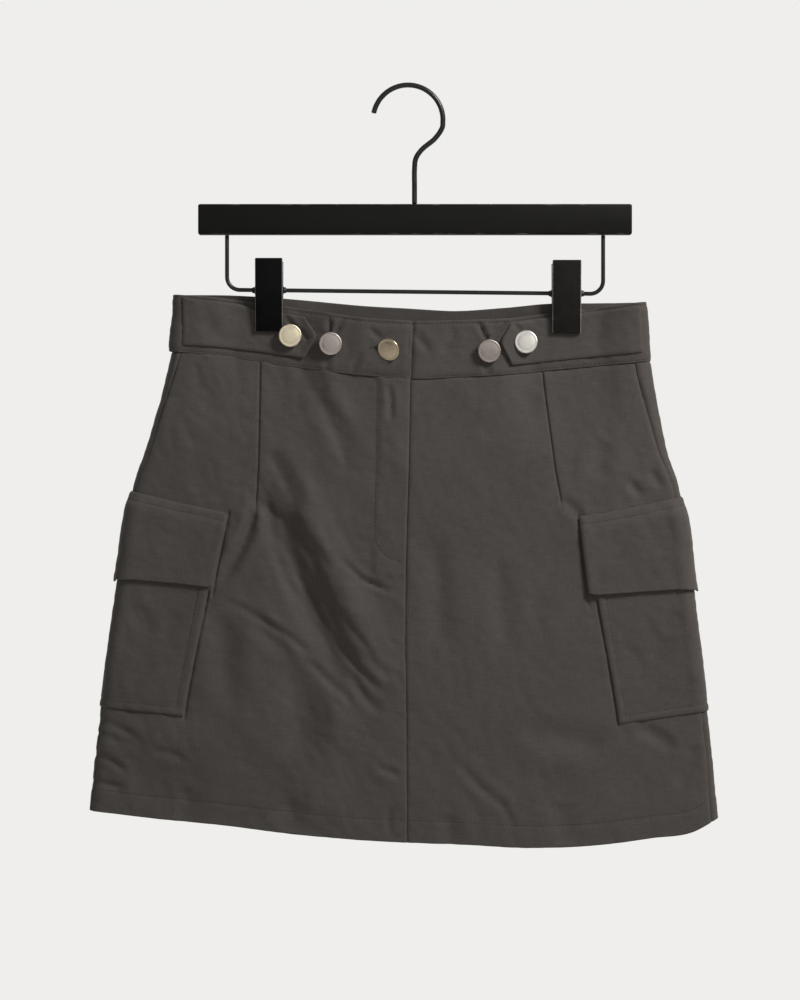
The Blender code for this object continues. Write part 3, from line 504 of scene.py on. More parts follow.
class StageSettings(bpy.types.PropertyGroup):
    """The camera, the lights and the floor."""

    view_height: FloatProperty(
        name="View height", description="Height that the camera takes in at the cloth",
        unit="LENGTH", default=0.772)
    camera_distance: FloatProperty(
        name="Camera distance", description="From the camera to the hung cloth",
        unit="LENGTH", default=3.0)
    key_power: FloatProperty(name="Key light", description="Watts of the key light", default=41.0)
    fill_power: FloatProperty(name="Fill light", description="Watts of the fill", default=1.0)
    room_power: FloatProperty(
        name="Room light", description="Watts of the pale wall behind the viewer", default=17.0)
    backdrop_colour: FloatVectorProperty(
        name="Backdrop", description="Colour round the object", subtype="COLOR",
        default=linear("efeeec"), min=0.0, max=1.0)


# ------------------------------------------------------------------- curves and the tube

def curve(knots, values, at):
    """A smooth curve through the values at the knots, read along their first axis."""
    knots = np.asarray(knots, dtype=float)
    values = np.asarray(values, dtype=float)
    slopes = np.gradient(values, knots, axis=0)
    cell = np.clip(np.searchsorted(knots, at, side="right") - 1, 0, len(knots) - 2)
    width = knots[cell + 1] - knots[cell]
    part = (at - knots[cell]) / width
    ease = part * part * (3.0 - 2.0 * part)
    leave = part * (1.0 - part) ** 2 * width
    arrive = -part * part * (1.0 - part) * width
    return (values[cell] * (1.0 - ease) + values[cell + 1] * ease
            + slopes[cell] * leave + slopes[cell + 1] * arrive)


def ease_in(value):
    """0 below 0, 1 above 1, and smooth between."""
    value = np.clip(value, 0.0, 1.0)
    return value * value * (3.0 - 2.0 * value)


def bump_at(distance, width):
    """1 at no distance, fading smoothly past a width."""
    return np.exp(-(distance / width) ** 2)


def drop(across, place, face):
    """How far the cloth hangs below the line between its side folds."""
    table = np.array(DROPS)
    knots = table[:, 0]
    if face == "front":
        top, waist, hem = table[:, 2], table[:, 3], table[:, 7]
    else:
        top, waist, hem = table[:, 1], table[:, 1] + BACK_WAIST_EXTRA, table[:, 7] * BACK_HEM_SHARE
    hip = 0.45 * waist + 0.55 * table[:, 4]
    by_level = (top, waist, hip, table[:, 4], table[:, 5], table[:, 6], hem)
    read = np.array([curve(knots, values, across) for values in by_level])
    if face == "back":
        read[1] = read[1] * (1.0 - across ** 2) ** 0.25
    return curve(np.arange(len(LEVELS)), read, place)


def pinch(x, place):
    """1 where a clip holds the cloth flat, 0 away from it."""
    held = np.zeros_like(x)
    for _side, clip_x, _width, _top in CLIPS:
        away = (np.abs(x - clip_x) - PINCH_FLAT) / (PINCH_REACH - PINCH_FLAT)
        held = np.maximum(held, 1.0 - ease_in(away))
    start, end = PINCH_LEVELS
    return held * (1.0 - ease_in((place - start) / (end - start)))


def fold_depth(x, z, face):
    """The sum of the large folds at points of one face, positive into the skirt."""
    total = np.zeros_like(x)
    for fold_face, x1, z1, x2, z2, width, depth in FOLDS:
        if fold_face != face:
            continue
        along_x = x2 - x1
        along_z = z2 - z1
        share = ((x - x1) * along_x + (z - z1) * along_z) / (along_x ** 2 + along_z ** 2)
        share = np.clip(share, 0.0, 1.0)
        away = np.hypot(x - x1 - share * along_x, z - z1 - share * along_z)
        total += depth * bump_at(away, width) * (1.0 - 0.8 * (2.0 * share - 1.0) ** 2)
    return total


def half_section(place, face):
    """One face of the tube's section at a level, from the left fold to the right fold."""
    table = np.array([level[1:8] for level in LEVELS])
    values = curve(np.arange(len(LEVELS)), table, place)
    left_x, left_z, right_x, right_z, side, front, back = values
    across = -np.cos(np.linspace(0.0, math.pi, SECTION_STEPS))
    x = 0.5 * (left_x + right_x) + 0.5 * (right_x - left_x) * across
    inset = 0.5 * (right_x - left_x) * (1.0 - np.abs(across))
    turn = np.sqrt(1.0 - (1.0 - np.minimum(inset / (1.1 * side), 1.0)) ** 2)
    middle = front if face == "front" else back
    depth = side + (middle - side) * (1.0 - across ** 2)
    held = pinch(x, place)
    depth = depth * (1.0 - held) + PINCH_DEPTH * held
    z = left_z + (right_z - left_z) * 0.5 * (1.0 + across) - drop(across, place, face)
    out = turn * (depth - fold_depth(x, z, face))
    return np.stack([x, -out if face == "front" else out, z], axis=1)


def section(place):
    """The fine lattice's points once round the tube at a level, from the left side seam."""
    front = half_section(place, "front")
    ring = np.concatenate([front, half_section(place, "back")[::-1][1:]])
    arc = np.concatenate([[0.0], np.cumsum(np.linalg.norm(np.diff(ring, axis=0), axis=1))])
    fold_right = arc[SECTION_STEPS - 1]
    total = arc[-1]
    left_x, right_x = front[0, 0], front[-1, 0]
    table = np.array([line[1:] for line in LINES])
    cut = curve(np.arange(len(LINES)), table, place)
    front_x = np.concatenate([left_x + cut[:3], cut[3:6], right_x - cut[6:]])
    seen = np.interp(front_x, front[:, 0], arc[:SECTION_STEPS])
    lines = np.concatenate([
        [seen[0], seen[0] + ROUNDING], seen[1:8], [seen[8] - ROUNDING, seen[8], fold_right],
        fold_right + np.array([ROUNDING, BACK_POCKET, BACK_FLAP]), [0.5 * (fold_right + total)],
        total - np.array([BACK_FLAP, BACK_POCKET, ROUNDING]), [total, total + seen[0]],
    ])
    columns = np.cumsum([0] + [cells for _name, cells in RING[:-1]])
    wanted = np.interp(np.arange(columns[-1] + 1), columns, lines) % total
    return np.stack([np.interp(wanted, arc, ring[:, axis]) for axis in range(3)], axis=1)


def fine_lattice():
    """The whole tube's inner face as a fine lattice, and the outward direction at each point."""
    rows = np.cumsum([0] + [level[8] for level in LEVELS[:-1]])
    places = np.interp(np.arange(rows[-1] + 1), rows, np.arange(len(LEVELS)))
    points = np.array([section(place) for place in places])
    ring = points[:, :-1]
    along = np.roll(ring, -1, axis=1) - np.roll(ring, 1, axis=1)
    along = np.concatenate([along, along[:, :1]], axis=1)
    outward = np.cross(along, -np.gradient(points, axis=0))
    outward /= np.linalg.norm(outward, axis=2, keepdims=True)
    return points, outward, rows


POINTS, OUTWARD, LEVEL_ROWS = fine_lattice()
RING_COLUMNS = np.cumsum([0] + [cells for _name, cells in RING[:-1]])
LAST_COLUMN = POINTS.shape[1] - 1
LAST_ROW = POINTS.shape[0] - 1
LAST_LINE = len(RING) - 1


def level(name):
    """A named level's place, in levels down."""
    return float([row[0] for row in LEVELS].index(name))


def line(name):
    """A named line's place, in lines round the tube."""
    return float([entry[0] for entry in RING].index(name))


def read_lattice(places, rings, out):
    """Points and outward directions at places down and rings round, moved out by out."""
    places, rings = np.broadcast_arrays(places, rings)
    rows = np.interp(places, np.arange(len(LEVELS)), LEVEL_ROWS)
    columns = np.interp(rings % LAST_LINE, np.arange(len(RING)), RING_COLUMNS)
    row = np.clip(np.floor(rows).astype(int), 0, LAST_ROW - 1)
    col = np.clip(np.floor(columns).astype(int), 0, LAST_COLUMN - 1)
    down = (rows - row)[..., None]
    right = (columns - col)[..., None]
    read = []
    for field in (POINTS, OUTWARD):
        upper = field[row, col] * (1.0 - right) + field[row, col + 1] * right
        lower = field[row + 1, col] * (1.0 - right) + field[row + 1, col + 1] * right
        read.append(upper * (1.0 - down) + lower * down)
    points, outward = read
    outward = outward / np.linalg.norm(outward, axis=-1, keepdims=True)
    return points + outward * np.asarray(out)[..., None], outward


def band_ring(x):
    """The ring place at an x on the front of the waistband."""
    rings = np.linspace(0.0, line("seam_right"), 400)
    points, _outward = read_lattice(0.5, rings, 0.0)
    return float(np.interp(x, points[:, 0], rings))


def crease_field(x, z, y, piece):
    """How far the listed creases of one kind of piece move each point in."""
    total = np.zeros_like(x)
    for kind, x1, z1, x2, z2, bow, width, depth, lean in CREASES:
        wanted = kind == piece or (piece == "panel" and kind in ("front", "back"))
        if not wanted:
            continue
        share = np.linspace(0.0, 1.0, CREASE_POINTS)
        length = math.hypot(x2 - x1, z2 - z1)
        sideways = 4.0 * bow * share * (1.0 - share)
        path_x = x1 + (x2 - x1) * share - (z2 - z1) / length * sideways
        path_z = z1 + (z2 - z1) * share + (x2 - x1) / length * sideways
        best = np.full_like(x, NOWHERE_NEAR)
        part = np.zeros_like(x)
        right = np.zeros_like(x)
        for k in range(CREASE_POINTS - 1):
            ax, az = path_x[k], path_z[k]
            bx, bz = path_x[k + 1] - ax, path_z[k + 1] - az
            along = np.clip(((x - ax) * bx + (z - az) * bz) / (bx * bx + bz * bz), 0.0, 1.0)
            gap = np.hypot(x - ax - along * bx, z - az - along * bz)
            near = gap < best
            best = np.where(near, gap, best)
            part = np.where(near, (k + along) / (CREASE_POINTS - 1), part)
            right = np.where(near, np.sign((z - az) * bx - (x - ax) * bz), right)
        half = width * (1.0 + lean * right)
        taper = 1.0 - (2.0 * part - 1.0) ** 4
        shape = bump_at(best, half) - (
            SHOULDER_SHARE * bump_at(best - SHOULDER_AWAY * width, SHOULDER_WIDTH * width))
        if kind == "back":
            facing = y > 0.0
        elif kind == "front":
            facing = y <= 0.0
        else:
            facing = np.ones_like(x, dtype=bool)
        total += np.where(facing, depth * shape * taper, 0.0)
    return total


def crinkle_field(u, v, seed):
    """The dry cloth's uneven crinkle at three sizes, longest along the drag of its folds."""
    flat = np.zeros(u.size)
    drag, most = (0.7, 1.0) if seed < 1.0 else (0.3, 0.65)
    for index, (across, down) in enumerate(zip(u.ravel(), v.ravel())):
        along, aside = drag * across + 0.8 * down, 0.8 * across - drag * down
        fine = noise.noise(Vector((across / 7.5, down / 4.8, seed)))
        middle = 0.3 - abs(noise.noise(Vector((along / 30.0, aside / 12.0, seed + 5.0))))
        wide = noise.noise(Vector((along / 60.0, aside / 24.0, seed + 9.0)))
        flat[index] = 0.8 * fine + most * (2.2 * middle + 2.0 * wide)
    return flat.reshape(u.shape)


# ------------------------------------------------------------------------- mesh building

def add_object(name, mesh, *finishes, sharp=None):
    """Puts a mesh in the scene with its finishes, smooth but for edges past a sharp angle."""
    mesh.shade_smooth()
    if sharp is not None:
        mesh.set_sharp_from_angle(angle=math.radians(sharp))
    for finish in finishes:
        mesh.materials.append(bpy.data.materials[finish])
    piece = bpy.data.objects.new(name, mesh)
    bpy.context.scene.collection.objects.link(piece)
    return piece


def built_object(name, builder, *finishes, sharp=None):
    """The same, for a mesh that is still being built."""
    mesh = bpy.data.meshes.new(name)
    builder.to_mesh(mesh)
    builder.free()
    return add_object(name, mesh, *finishes, sharp=sharp)


def ring_of(builder, centre, aside, other, radius, sides):
    """Vertices once round a centre, in the plane of two directions."""
    turns = [2.0 * math.pi * k / sides for k in range(sides)]
    return [builder.verts.new(centre + radius * (math.cos(a) * aside + math.sin(a) * other))
            for a in turns]


def join_rings(builder, rings):
    """Faces between each ring of vertices and the next; a ring of one vertex is a point."""
    for upper, lower in zip(rings, rings[1:]):
        sides = max(len(upper), len(lower))
        for k in range(sides):
            after = (k + 1) % sides
            corners = (upper[k % len(upper)], lower[k % len(lower)],
                       lower[after % len(lower)], upper[after % len(upper)])
            builder.faces.new(list(dict.fromkeys(corners)))


def distances(points):
    """Millimetres run along the rows and down the columns of a grid of points."""
    across = np.linalg.norm(np.diff(points, axis=1), axis=2)
    down = np.linalg.norm(np.diff(points, axis=0), axis=2)
    u = np.concatenate([np.zeros((points.shape[0], 1)), np.cumsum(across, axis=1)], axis=1)
    v = np.concatenate([np.zeros((1, points.shape[1])), np.cumsum(down, axis=0)], axis=0)
    return u, v


def spread(length, cell, knots=()):
    """Marks from 0 to a length, a cell apart and closer at both ends and round the knots."""
    count = max(int(round(length / cell)), 4)
    marks = np.linspace(0.0, length, count + 1)
    marks = marks[(marks > EDGE_GAP) & (marks < length - EDGE_GAP)]
    for knot in knots:
        marks = marks[np.abs(marks - knot) > KNOT_GAP]
        marks = np.append(marks, knot + KNOT_MARKS)
    marks = np.concatenate([marks, EDGE_MARKS, length - EDGE_MARKS])
    return np.unique(np.round(np.clip(marks, 0.0, length), 3))


def grid_faces(rows, columns, flip):
    """Quads of a grid of points, facing out, or in if flipped."""
    index = np.arange(rows * columns).reshape(rows, columns)
    corners = (index[:-1, :-1], index[1:, :-1], index[1:, 1:], index[:-1, 1:])
    quads = np.stack([corner.ravel() for corner in corners], axis=1)
    return quads[:, ::-1] if flip else quads


def rim_loop(rows, columns):
    """Indices once round a grid's edge: along the top, down, back along the bottom and up."""
    index = np.arange(rows * columns).reshape(rows, columns)
    return np.concatenate([index[0, :-1], index[:-1, -1], index[-1, :0:-1], index[:0:-1, 0]])


def shell_object(name, outer, inner, u, v, finish):
    """A closed cloth wall between two grids, with a rounded turned edge all round."""
    rows, columns = outer.shape[:2]
    count = rows * columns
    loop = rim_loop(rows, columns)
    outer_flat = outer.reshape(-1, 3)
    inner_flat = inner.reshape(-1, 3)
    middle = 0.5 * (outer + inner)
    outwards = np.zeros_like(middle)
    outwards[0] += middle[0] - middle[1]
    outwards[-1] += middle[-1] - middle[-2]
    outwards[:, 0] += middle[:, 0] - middle[:, 1]
    outwards[:, -1] += middle[:, -1] - middle[:, -2]
    step = outwards.reshape(-1, 3)[loop]
    step /= np.linalg.norm(step, axis=1, keepdims=True)
    wall = np.linalg.norm(outer_flat - inner_flat, axis=1)[loop][:, None]
    edge = middle.reshape(-1, 3)[loop] + step * np.minimum(wall * 0.32, 0.5)
    vertices = np.concatenate([outer_flat, inner_flat, edge]) * MM
    following = np.roll(loop, -1)
    middle_index = 2 * count + np.arange(len(loop))
    middle_next = np.roll(middle_index, -1)
    rim_out = np.stack([loop, following, middle_next, middle_index], axis=1)
    rim_in = np.stack([middle_index, middle_next, following + count, loop + count], axis=1)
    faces = np.concatenate([
        grid_faces(rows, columns, False), grid_faces(rows, columns, True) + count, rim_out, rim_in])
    mesh = bpy.data.meshes.new(name)
    mesh.from_pydata(vertices.tolist(), [], faces.tolist())
    flat_uv = np.stack([u.ravel(), v.ravel()], axis=1) * MM
    vertex_uv = np.concatenate([flat_uv, flat_uv, flat_uv[loop]])
    layer = mesh.uv_layers.new(name="cloth")
    layer.data.foreach_set("uv", vertex_uv[faces.ravel()].astype(np.float32).ravel())
    return add_object(name, mesh, finish, sharp=CLOTH_SHARP)


PIECES = {}


def finish_piece(piece, slot, *nodes):
    """Rides the piece and hides the imported parts that it stands for."""
    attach(piece, BODY)
    if nodes:
        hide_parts(*nodes)
    return piece


def arc_marks(points):
    """Millimetres run along a row of points."""
    steps = np.linalg.norm(np.diff(points, axis=0), axis=1)
    return np.concatenate([[0.0], np.cumsum(steps)])


def spaced_rings(first, last, place, cell, knots=()):
    """Ring places from first to last, a cell apart along the cloth at one level."""
    dense = np.linspace(first, last, DENSE_MARKS)
    arc = arc_marks(read_lattice(place, dense, np.zeros(DENSE_MARKS))[0])
    marks = spread(arc[-1], cell, np.interp(knots, dense, arc))
    return np.interp(marks, arc, dense)


def spaced_levels(first, last, ring, cell, knots=()):
    """Level places from first to last, a cell apart down the cloth on one line."""
    dense = np.linspace(first, last, DENSE_MARKS)
    arc = arc_marks(read_lattice(dense, ring, np.zeros(DENSE_MARKS))[0])
    marks = spread(arc[-1], cell, np.interp(knots, dense, arc))
    return np.interp(marks, arc, dense)


class Patch:
    """One cloth piece's grid: where it lies on the tube, and how far it runs across and down."""

    def __init__(self, rings, places, out):
        """A grid at ring places and level places, stood off the tube by out."""
        self.places, self.rings = np.broadcast_arrays(places, rings)
        self.places = self.places.astype(float)
        self.rings = self.rings.astype(float)
        self.base, self.outward = read_lattice(self.places, self.rings, np.zeros(self.rings.shape))
        self.out = np.broadcast_to(out, self.rings.shape).astype(float)
        self.u, self.v = distances(self.base + self.outward * self.out[..., None])
        self.width = self.u[:, -1:]
        self.length = self.v[-1:, :]

    def from_edge(self, edge):
        """Millimetres from one edge of the piece."""
        if edge == "left":
            return self.u
        if edge == "right":
            return self.width - self.u
        if edge == "top":
            return self.v
        return self.length - self.v

    def share(self, edge):
        """How far along an edge each point is, from 0 to 1."""
        return self.u / self.width if edge in ("top", "bottom") else self.v / self.length


def stitch_channels(name, patch):
    """How far each stitch row pulls the cloth in."""
    pulled = np.zeros_like(patch.u)
    for piece, edge, inset, start, end in STITCH_ROWS:
        if piece != name:
            continue
        along = patch.share(edge)
        inside = ease_in((along - start) / 0.02 + 1.0) * ease_in((end - along) / 0.02 + 1.0)
        pulled += STITCH_PULL * bump_at(patch.from_edge(edge) - inset, 0.9) * inside
    return pulled


def seam_roll(patch, edges, depth=0.5, width=1.1):
    """How far the cloth turns in at its sewn edges."""
    rolled = np.zeros_like(patch.u)
    for edge in edges:
        rolled = np.maximum(rolled, depth * bump_at(patch.from_edge(edge), width))
    return rolled


def turned_edge(patch, edges, height=0.28, reach=5.0):
    """How much thicker the cloth is where its edge is turned under."""
    thick = np.zeros_like(patch.u)
    for edge in edges:
        away = patch.from_edge(edge)
        thick = np.maximum(thick, height * (1.0 - ease_in((away - reach) / 1.6)))
    return thick


def under_pocket(patch):
    """True where a pocket or its flap lies over the panel."""
    rings = patch.rings % LAST_LINE
    left = (rings < line("pocket_left")) | (rings > line("back_pocket_left"))
    right = (rings > line("pocket_right")) & (rings < line("back_pocket_right"))
    return (left | right) & (patch.places > level("flap_top") - 0.1)


def cloth_piece(name, patch, wall, dent, follow, seed):
    """Makes one piece: the dent pushes its outside in, and its inside follows by a share."""
    settings = bpy.context.scene.skirt_cloth
    crinkle = settings.crinkle / MM * crinkle_field(patch.u, patch.v, seed)
    inner = patch.base + patch.outward * (patch.out - follow * dent)[..., None]
    rise = patch.out + wall - dent - crinkle - stitch_channels(name, patch)
    outer = patch.base + patch.outward * rise[..., None]
    piece = shell_object(name, outer, inner, patch.u, patch.v, CLOTH_FINISH)
    PIECES[name] = (piece, patch, outer)
    return finish_piece(piece, "cloth", name)


# ------------------------------------------------------------------------------ the skirt

def dart_dent(patch, dart_lines, tip_place):
    """The groove of sewn darts, with the doubled cloth pressed to the right of it."""
    dent = np.zeros_like(patch.u)
    for dart_line in dart_lines:
        column = int(np.argmin(np.abs(patch.rings[0] - dart_line)))
        away = patch.u - patch.u[:, column:column + 1]
        closing = ease_in((tip_place - patch.places) / 0.35)
        pressed = 0.65 * ease_in((away + 0.3) / 0.8) * (1.0 - ease_in((away - 2.0) / 12.0))
        groove = DART_DEPTH * bump_at(away + 0.2, 0.9)
        swell = 0.35 * bump_at(patch.places - tip_place, 0.12) * bump_at(away, 9.0)
        dent += (groove - pressed) * closing - swell
    return dent


def patch_grooves(patch, side):
    """The grooves that the edges of a sewn-on flap and pocket press into the front."""
    away_from_fold = 1.0 if side == "left" else -1.0
    top, under, bottom = level("flap_top"), level("flap_bottom"), level("pocket_bottom")
    dent = np.zeros_like(patch.u)
    for edge, first, last in (("flap_", top, under), ("pocket_", under, bottom)):
        column = int(np.argmin(np.abs(patch.rings[0] - line(edge + side))))
        away = away_from_fold * (patch.u - patch.u[:, column:column + 1])
        inside = (patch.places > first - 0.02) & (patch.places < last + 0.02)
        dent += PATCH_GROOVE * bump_at(away - 1.0, 0.9) * inside
    return dent


def hem_dent(patch):
    """The doubled hem, slightly proud, with small puckers between its fold and its stitching."""
    up = patch.from_edge("bottom")
    inside = 1.0 - ease_in((up - HEM_DEPTH) / 1.4)
    pucker = np.sin(patch.u / 5.3 + 2.0 * np.sin(patch.u / 23.0)) * bump_at(up - 10.0, 7.0)
    return -0.22 * inside - 0.10 * pucker


def fly_dent(patch):
    """The doubled fly: the panel's centre edge stands proud down to the end of its opening."""
    from_centre = patch.from_edge("right")
    down = 1.0 - ease_in((patch.places - FLY_END_PLACE) / 0.12)
    step = 1.0 - ease_in((from_centre - FLY_WIDTH) / 3.0)
    puff = bump_at(from_centre - 0.5 * FLY_WIDTH, 0.45 * FLY_WIDTH)
    return -(FLY_RISE * step + 0.35 * puff) * down


def line_dent(patch, route, depth, width):
    """A groove along a route of (x, z) points on the front."""
    x = patch.base[..., 0]
    z = patch.base[..., 2]
    nearest = np.full_like(x, NOWHERE_NEAR)
    for (x1, z1), (x2, z2) in zip(route, route[1:]):
        run_x, run_z = x2 - x1, z2 - z1
        share = ((x - x1) * run_x + (z - z1) * run_z) / (run_x ** 2 + run_z ** 2)
        share = np.clip(share, 0.0, 1.0)
        nearest = np.minimum(nearest, np.hypot(x - x1 - share * run_x, z - z1 - share * run_z))
    return depth * bump_at(nearest, width) * (patch.base[..., 1] <= 0.0)


def creases_of(patch, kind):
    """The listed creases on a patch, at the strength that is set."""
    strength = bpy.context.scene.skirt_cloth.crease_strength
    if kind in ("pocket", "flap"):
        strength *= DOUBLED_SHARE
    base = patch.base
    return strength * crease_field(base[..., 0], base[..., 2], base[..., 1], kind)


def make_panels():
    """Two fronts that meet at the centre line, and the back that wraps round both folds."""
    settings = bpy.context.scene.skirt_cloth
    cell = settings.cell / MM
    wall = settings.panel_wall / MM
    top, bottom = level("waist"), level("hem")
    spans = (
        # name          first line    last line          darts         tip place  cell
        ("front_right", "seam_left",  "centre",          (4.0,),       2.96,      1.0),
        ("front_left",  "centre",     "seam_right",      (6.0,),       2.94,      1.0),
        ("back",        "seam_right", "seam_left_again", BACK_DARTS,   2.55,      1.3),
    )
    for seed, (name, first, last, darts, tip, coarse) in enumerate(spans):
        knots = darts
        if name != "back":
            side = "left" if name == "front_right" else "right"
            knots = darts + (line("flap_" + side), line("pocket_" + side))
        rings = spaced_rings(line(first), line(last), 3.0, cell * coarse, knots)
        places = spaced_levels(top, bottom, 0.5 * (line(first) + line(last)), cell * coarse)
        patch = Patch(rings[None, :], places[:, None], 0.0)
        dent = creases_of(patch, "panel")
        dent = np.where(under_pocket(patch), np.maximum(dent, 0.0), dent)
        dent += dart_dent(patch, darts, tip) + hem_dent(patch)
        dent += seam_roll(patch, ("left", "right", "top"), *SEAM_ROLLS[name])
        if name != "back":
            dent += patch_grooves(patch, side)
        if name == "front_right":
            dent += fly_dent(patch) + line_dent(patch, FLY_STITCHES, 0.7, 1.0)
        cloth_piece(name, patch, wall, dent, 0.8, 3.0 * seed)


def band_kick(patch):
    """How far the band stands away from the skirt at the side folds, most above its seam."""
    rings = patch.rings % LAST_LINE
    kick = np.zeros_like(rings)
    for fold, most, middle in BAND_KICKS:
        near = bump_at(rings - line(fold), 0.9)
        if fold == "fold_left":
            near = near + bump_at(rings + LAST_LINE - line(fold), 0.9)
        kick += most * near * bump_at(patch.places - middle, 0.42)
    return kick


def make_waistband():
    """The band: its right front laps over the underlap that its left front runs on as."""
    settings = bpy.context.scene.skirt_cloth
    cell = settings.cell / MM
    wall = settings.band_wall / MM
    lap = wall + LAY_GAP
    centre = line("centre")
    places = spaced_levels(0.0, level("waist"), 7.5, cell * 0.8)
    spans = (
        ("waistband_front_right", line("seam_left"), centre),
        ("waistband_front_left", centre - UNDERLAP_CELLS, line("seam_right")),
        ("waistband_back", line("seam_right"), line("seam_left_again")),
    )
    for seed, (name, first, last) in enumerate(spans):
        knots = (centre,) if name == "waistband_front_left" else ()
        rings = spaced_rings(first, last, 0.5, cell, knots)
        out = np.zeros(len(rings))
        if name == "waistband_front_right":
            out = lap * ease_in((rings - (centre - 1.45 * LAP_CELLS)) / (0.45 * LAP_CELLS))
        patch = Patch(rings[None, :], places[:, None], out[None, :])
        patch.out = patch.out * (1.0 - 0.75 * bump_at(patch.from_edge("bottom"), 6.0))
        patch.out += band_kick(patch)
        dent = creases_of(patch, "band") if name != "waistband_back" else np.zeros_like(patch.u)
        dent += seam_roll(patch, ("bottom",), 0.55, 1.0) + seam_roll(patch, ("top",), 0.3, 0.8)
        dent -= turned_edge(patch, ("bottom", "top"), 0.16, 7.0)
        if name == "waistband_front_right":
            dent += line_dent(patch, BUTTONHOLE, 0.9, 0.55)
            dent += seam_roll(patch, ("right",), 1.0, 1.7)
        if name == "waistband_front_left":
            column = int(np.argmin(np.abs(patch.rings[0] - centre)))
            past = patch.u - patch.u[:, column:column + 1]
            dent += 1.0 * (past < 0.0) * bump_at(patch.from_edge("bottom"), 6.0)
            dent += SLIT_DEPTH * bump_at(past - 0.7, 1.5)
        cloth_piece(name, patch, wall, dent, 0.0, 10.0 + 3.0 * seed)


def make_tabs():
    """An adjuster tab from each side seam to its pointed end, on the band."""
    settings = bpy.context.scene.skirt_cloth
    cell = settings.cell / MM
    wall = settings.tab_wall / MM
    out = settings.band_wall / MM + SEWN_GAP
    for side, corner_x, tip_x, upper, lower, tip, upper_end, lower_end in TABS:
        corner, point = band_ring(corner_x), band_ring(tip_x)
        seam = line("seam_" + side) + (TAB_REACH if side == "right" else 0.0)
        rings = spaced_rings(min(seam, point), max(seam, point), 0.5, cell * 0.7)
        closing = np.clip((rings - corner) / (point - corner), 0.0, 1.0)
        sewn = np.clip((rings - corner) / (seam - corner), 0.0, 1.0)
        first = upper + (tip - TIP_SHARE - upper) * closing + (upper_end - upper) * sewn
        last = lower + (tip + TIP_SHARE - lower) * closing + (lower_end - lower) * sewn
        marks = spread(TAB_LENGTH, cell * 0.7) / TAB_LENGTH
        places = first[None, :] + (last - first)[None, :] * marks[:, None]
        lift = TAB_LIFT * bump_at(rings - point, 0.30 * abs(line("centre") - corner))
        patch = Patch(rings[None, :], places, out + lift[None, :])
        dent = creases_of(patch, "tab")
        dent -= turned_edge(patch, ("top", "bottom"), 0.30, 4.0)
        dent += seam_roll(patch, ("left", "right"), 0.6, 1.0)
        dent += seam_roll(patch, ("top", "bottom"), 0.5, 0.8)
        name = "tab_" + side
        cloth_piece(name, patch, wall, dent, 0.0, 30.0 + len(side))


def wrap_lines(side, edge):
    """Ring places of a piece's two edges and of the side fold that it wraps round."""
    if side == "left":
        back = line("back_" + edge + "_left") - LAST_LINE
        return back, line("fold_left") - LAST_LINE, line(edge + "_left")
    return line(edge + "_right"), line("fold_right"), line("back_" + edge + "_right")


def bulge_share(patch, side):
    """How full a pocket stands at each point: none at its edges and little at the side fold."""
    first, fold, last = wrap_lines(side, "pocket")
    share = np.interp(patch.rings, (first, fold, last), (0.0, 0.5, 1.0))
    return np.sin(2.0 * math.pi * share) ** 2


def make_pockets():
    """A cargo pocket round each side seam; its mouth is under the flap."""
    settings = bpy.context.scene.skirt_cloth
    cell = settings.cell / MM
    wall = settings.pocket_wall / MM
    clear = settings.panel_wall / MM + SEWN_GAP
    bottom = level("pocket_bottom")
    for side in ("left", "right"):
        first, _fold, last = wrap_lines(side, "pocket")
        rings = spaced_rings(first, last, 4.5, cell)
        places = spaced_levels(level("flap_top") + POCKET_START, bottom, rings[-1], cell)
        patch = Patch(rings[None, :], places[:, None], clear)
        closing = ease_in((bottom - patch.places) / 0.36)
        patch.out += settings.pocket_bulge / MM * bulge_share(patch, side) * closing
        dent = creases_of(patch, "pocket")
        dent -= turned_edge(patch, ("left", "right", "bottom"), 0.30, TOPSTITCH_INSET - 0.8)
        dent += seam_roll(patch, ("left", "right", "bottom"), 0.6, 0.9)
        cloth_piece("pocket_" + side, patch, wall, dent, 0.0, 40.0 + len(side))


def make_flaps():
    """A pocket flap on each side, sewn along its top and standing clear of the pocket below."""
    settings = bpy.context.scene.skirt_cloth
    cell = settings.cell / MM
    wall = settings.flap_wall / MM
    low = settings.panel_wall / MM + SEWN_GAP
    clear = low + settings.pocket_wall / MM + LAY_GAP
    for side in ("left", "right"):
        first, fold, last = wrap_lines(side, "flap")
        rings = spaced_rings(first, last, 3.5, cell)
        reach = np.where(rings < fold, fold - first, last - fold)
        bottom = level("flap_bottom") - FLAP_RISE * np.abs(rings - fold) / reach
        marks = spread(FLAP_LENGTH, cell) / FLAP_LENGTH
        top = level("flap_top")
        places = top + marks[:, None] * (bottom - top)[None, :]
        patch = Patch(rings[None, :], places, low)
        hang = ease_in(marks / 0.24)[:, None]
        full = clear - low + settings.pocket_bulge / MM * bulge_share(patch, side)
        patch.out += full * hang + FLAP_FLARE * marks[:, None]
        dent = creases_of(patch, "flap") * hang
        dent -= turned_edge(patch, ("left", "right", "bottom"), 0.32, 5.5)
        dent += seam_roll(patch, ("left", "right", "top"), 0.8, 1.0)
        cloth_piece("flap_" + side, patch, wall, dent, 0.0, 50.0 + len(side))


# --------------------------------------------------------------------------- the stitching

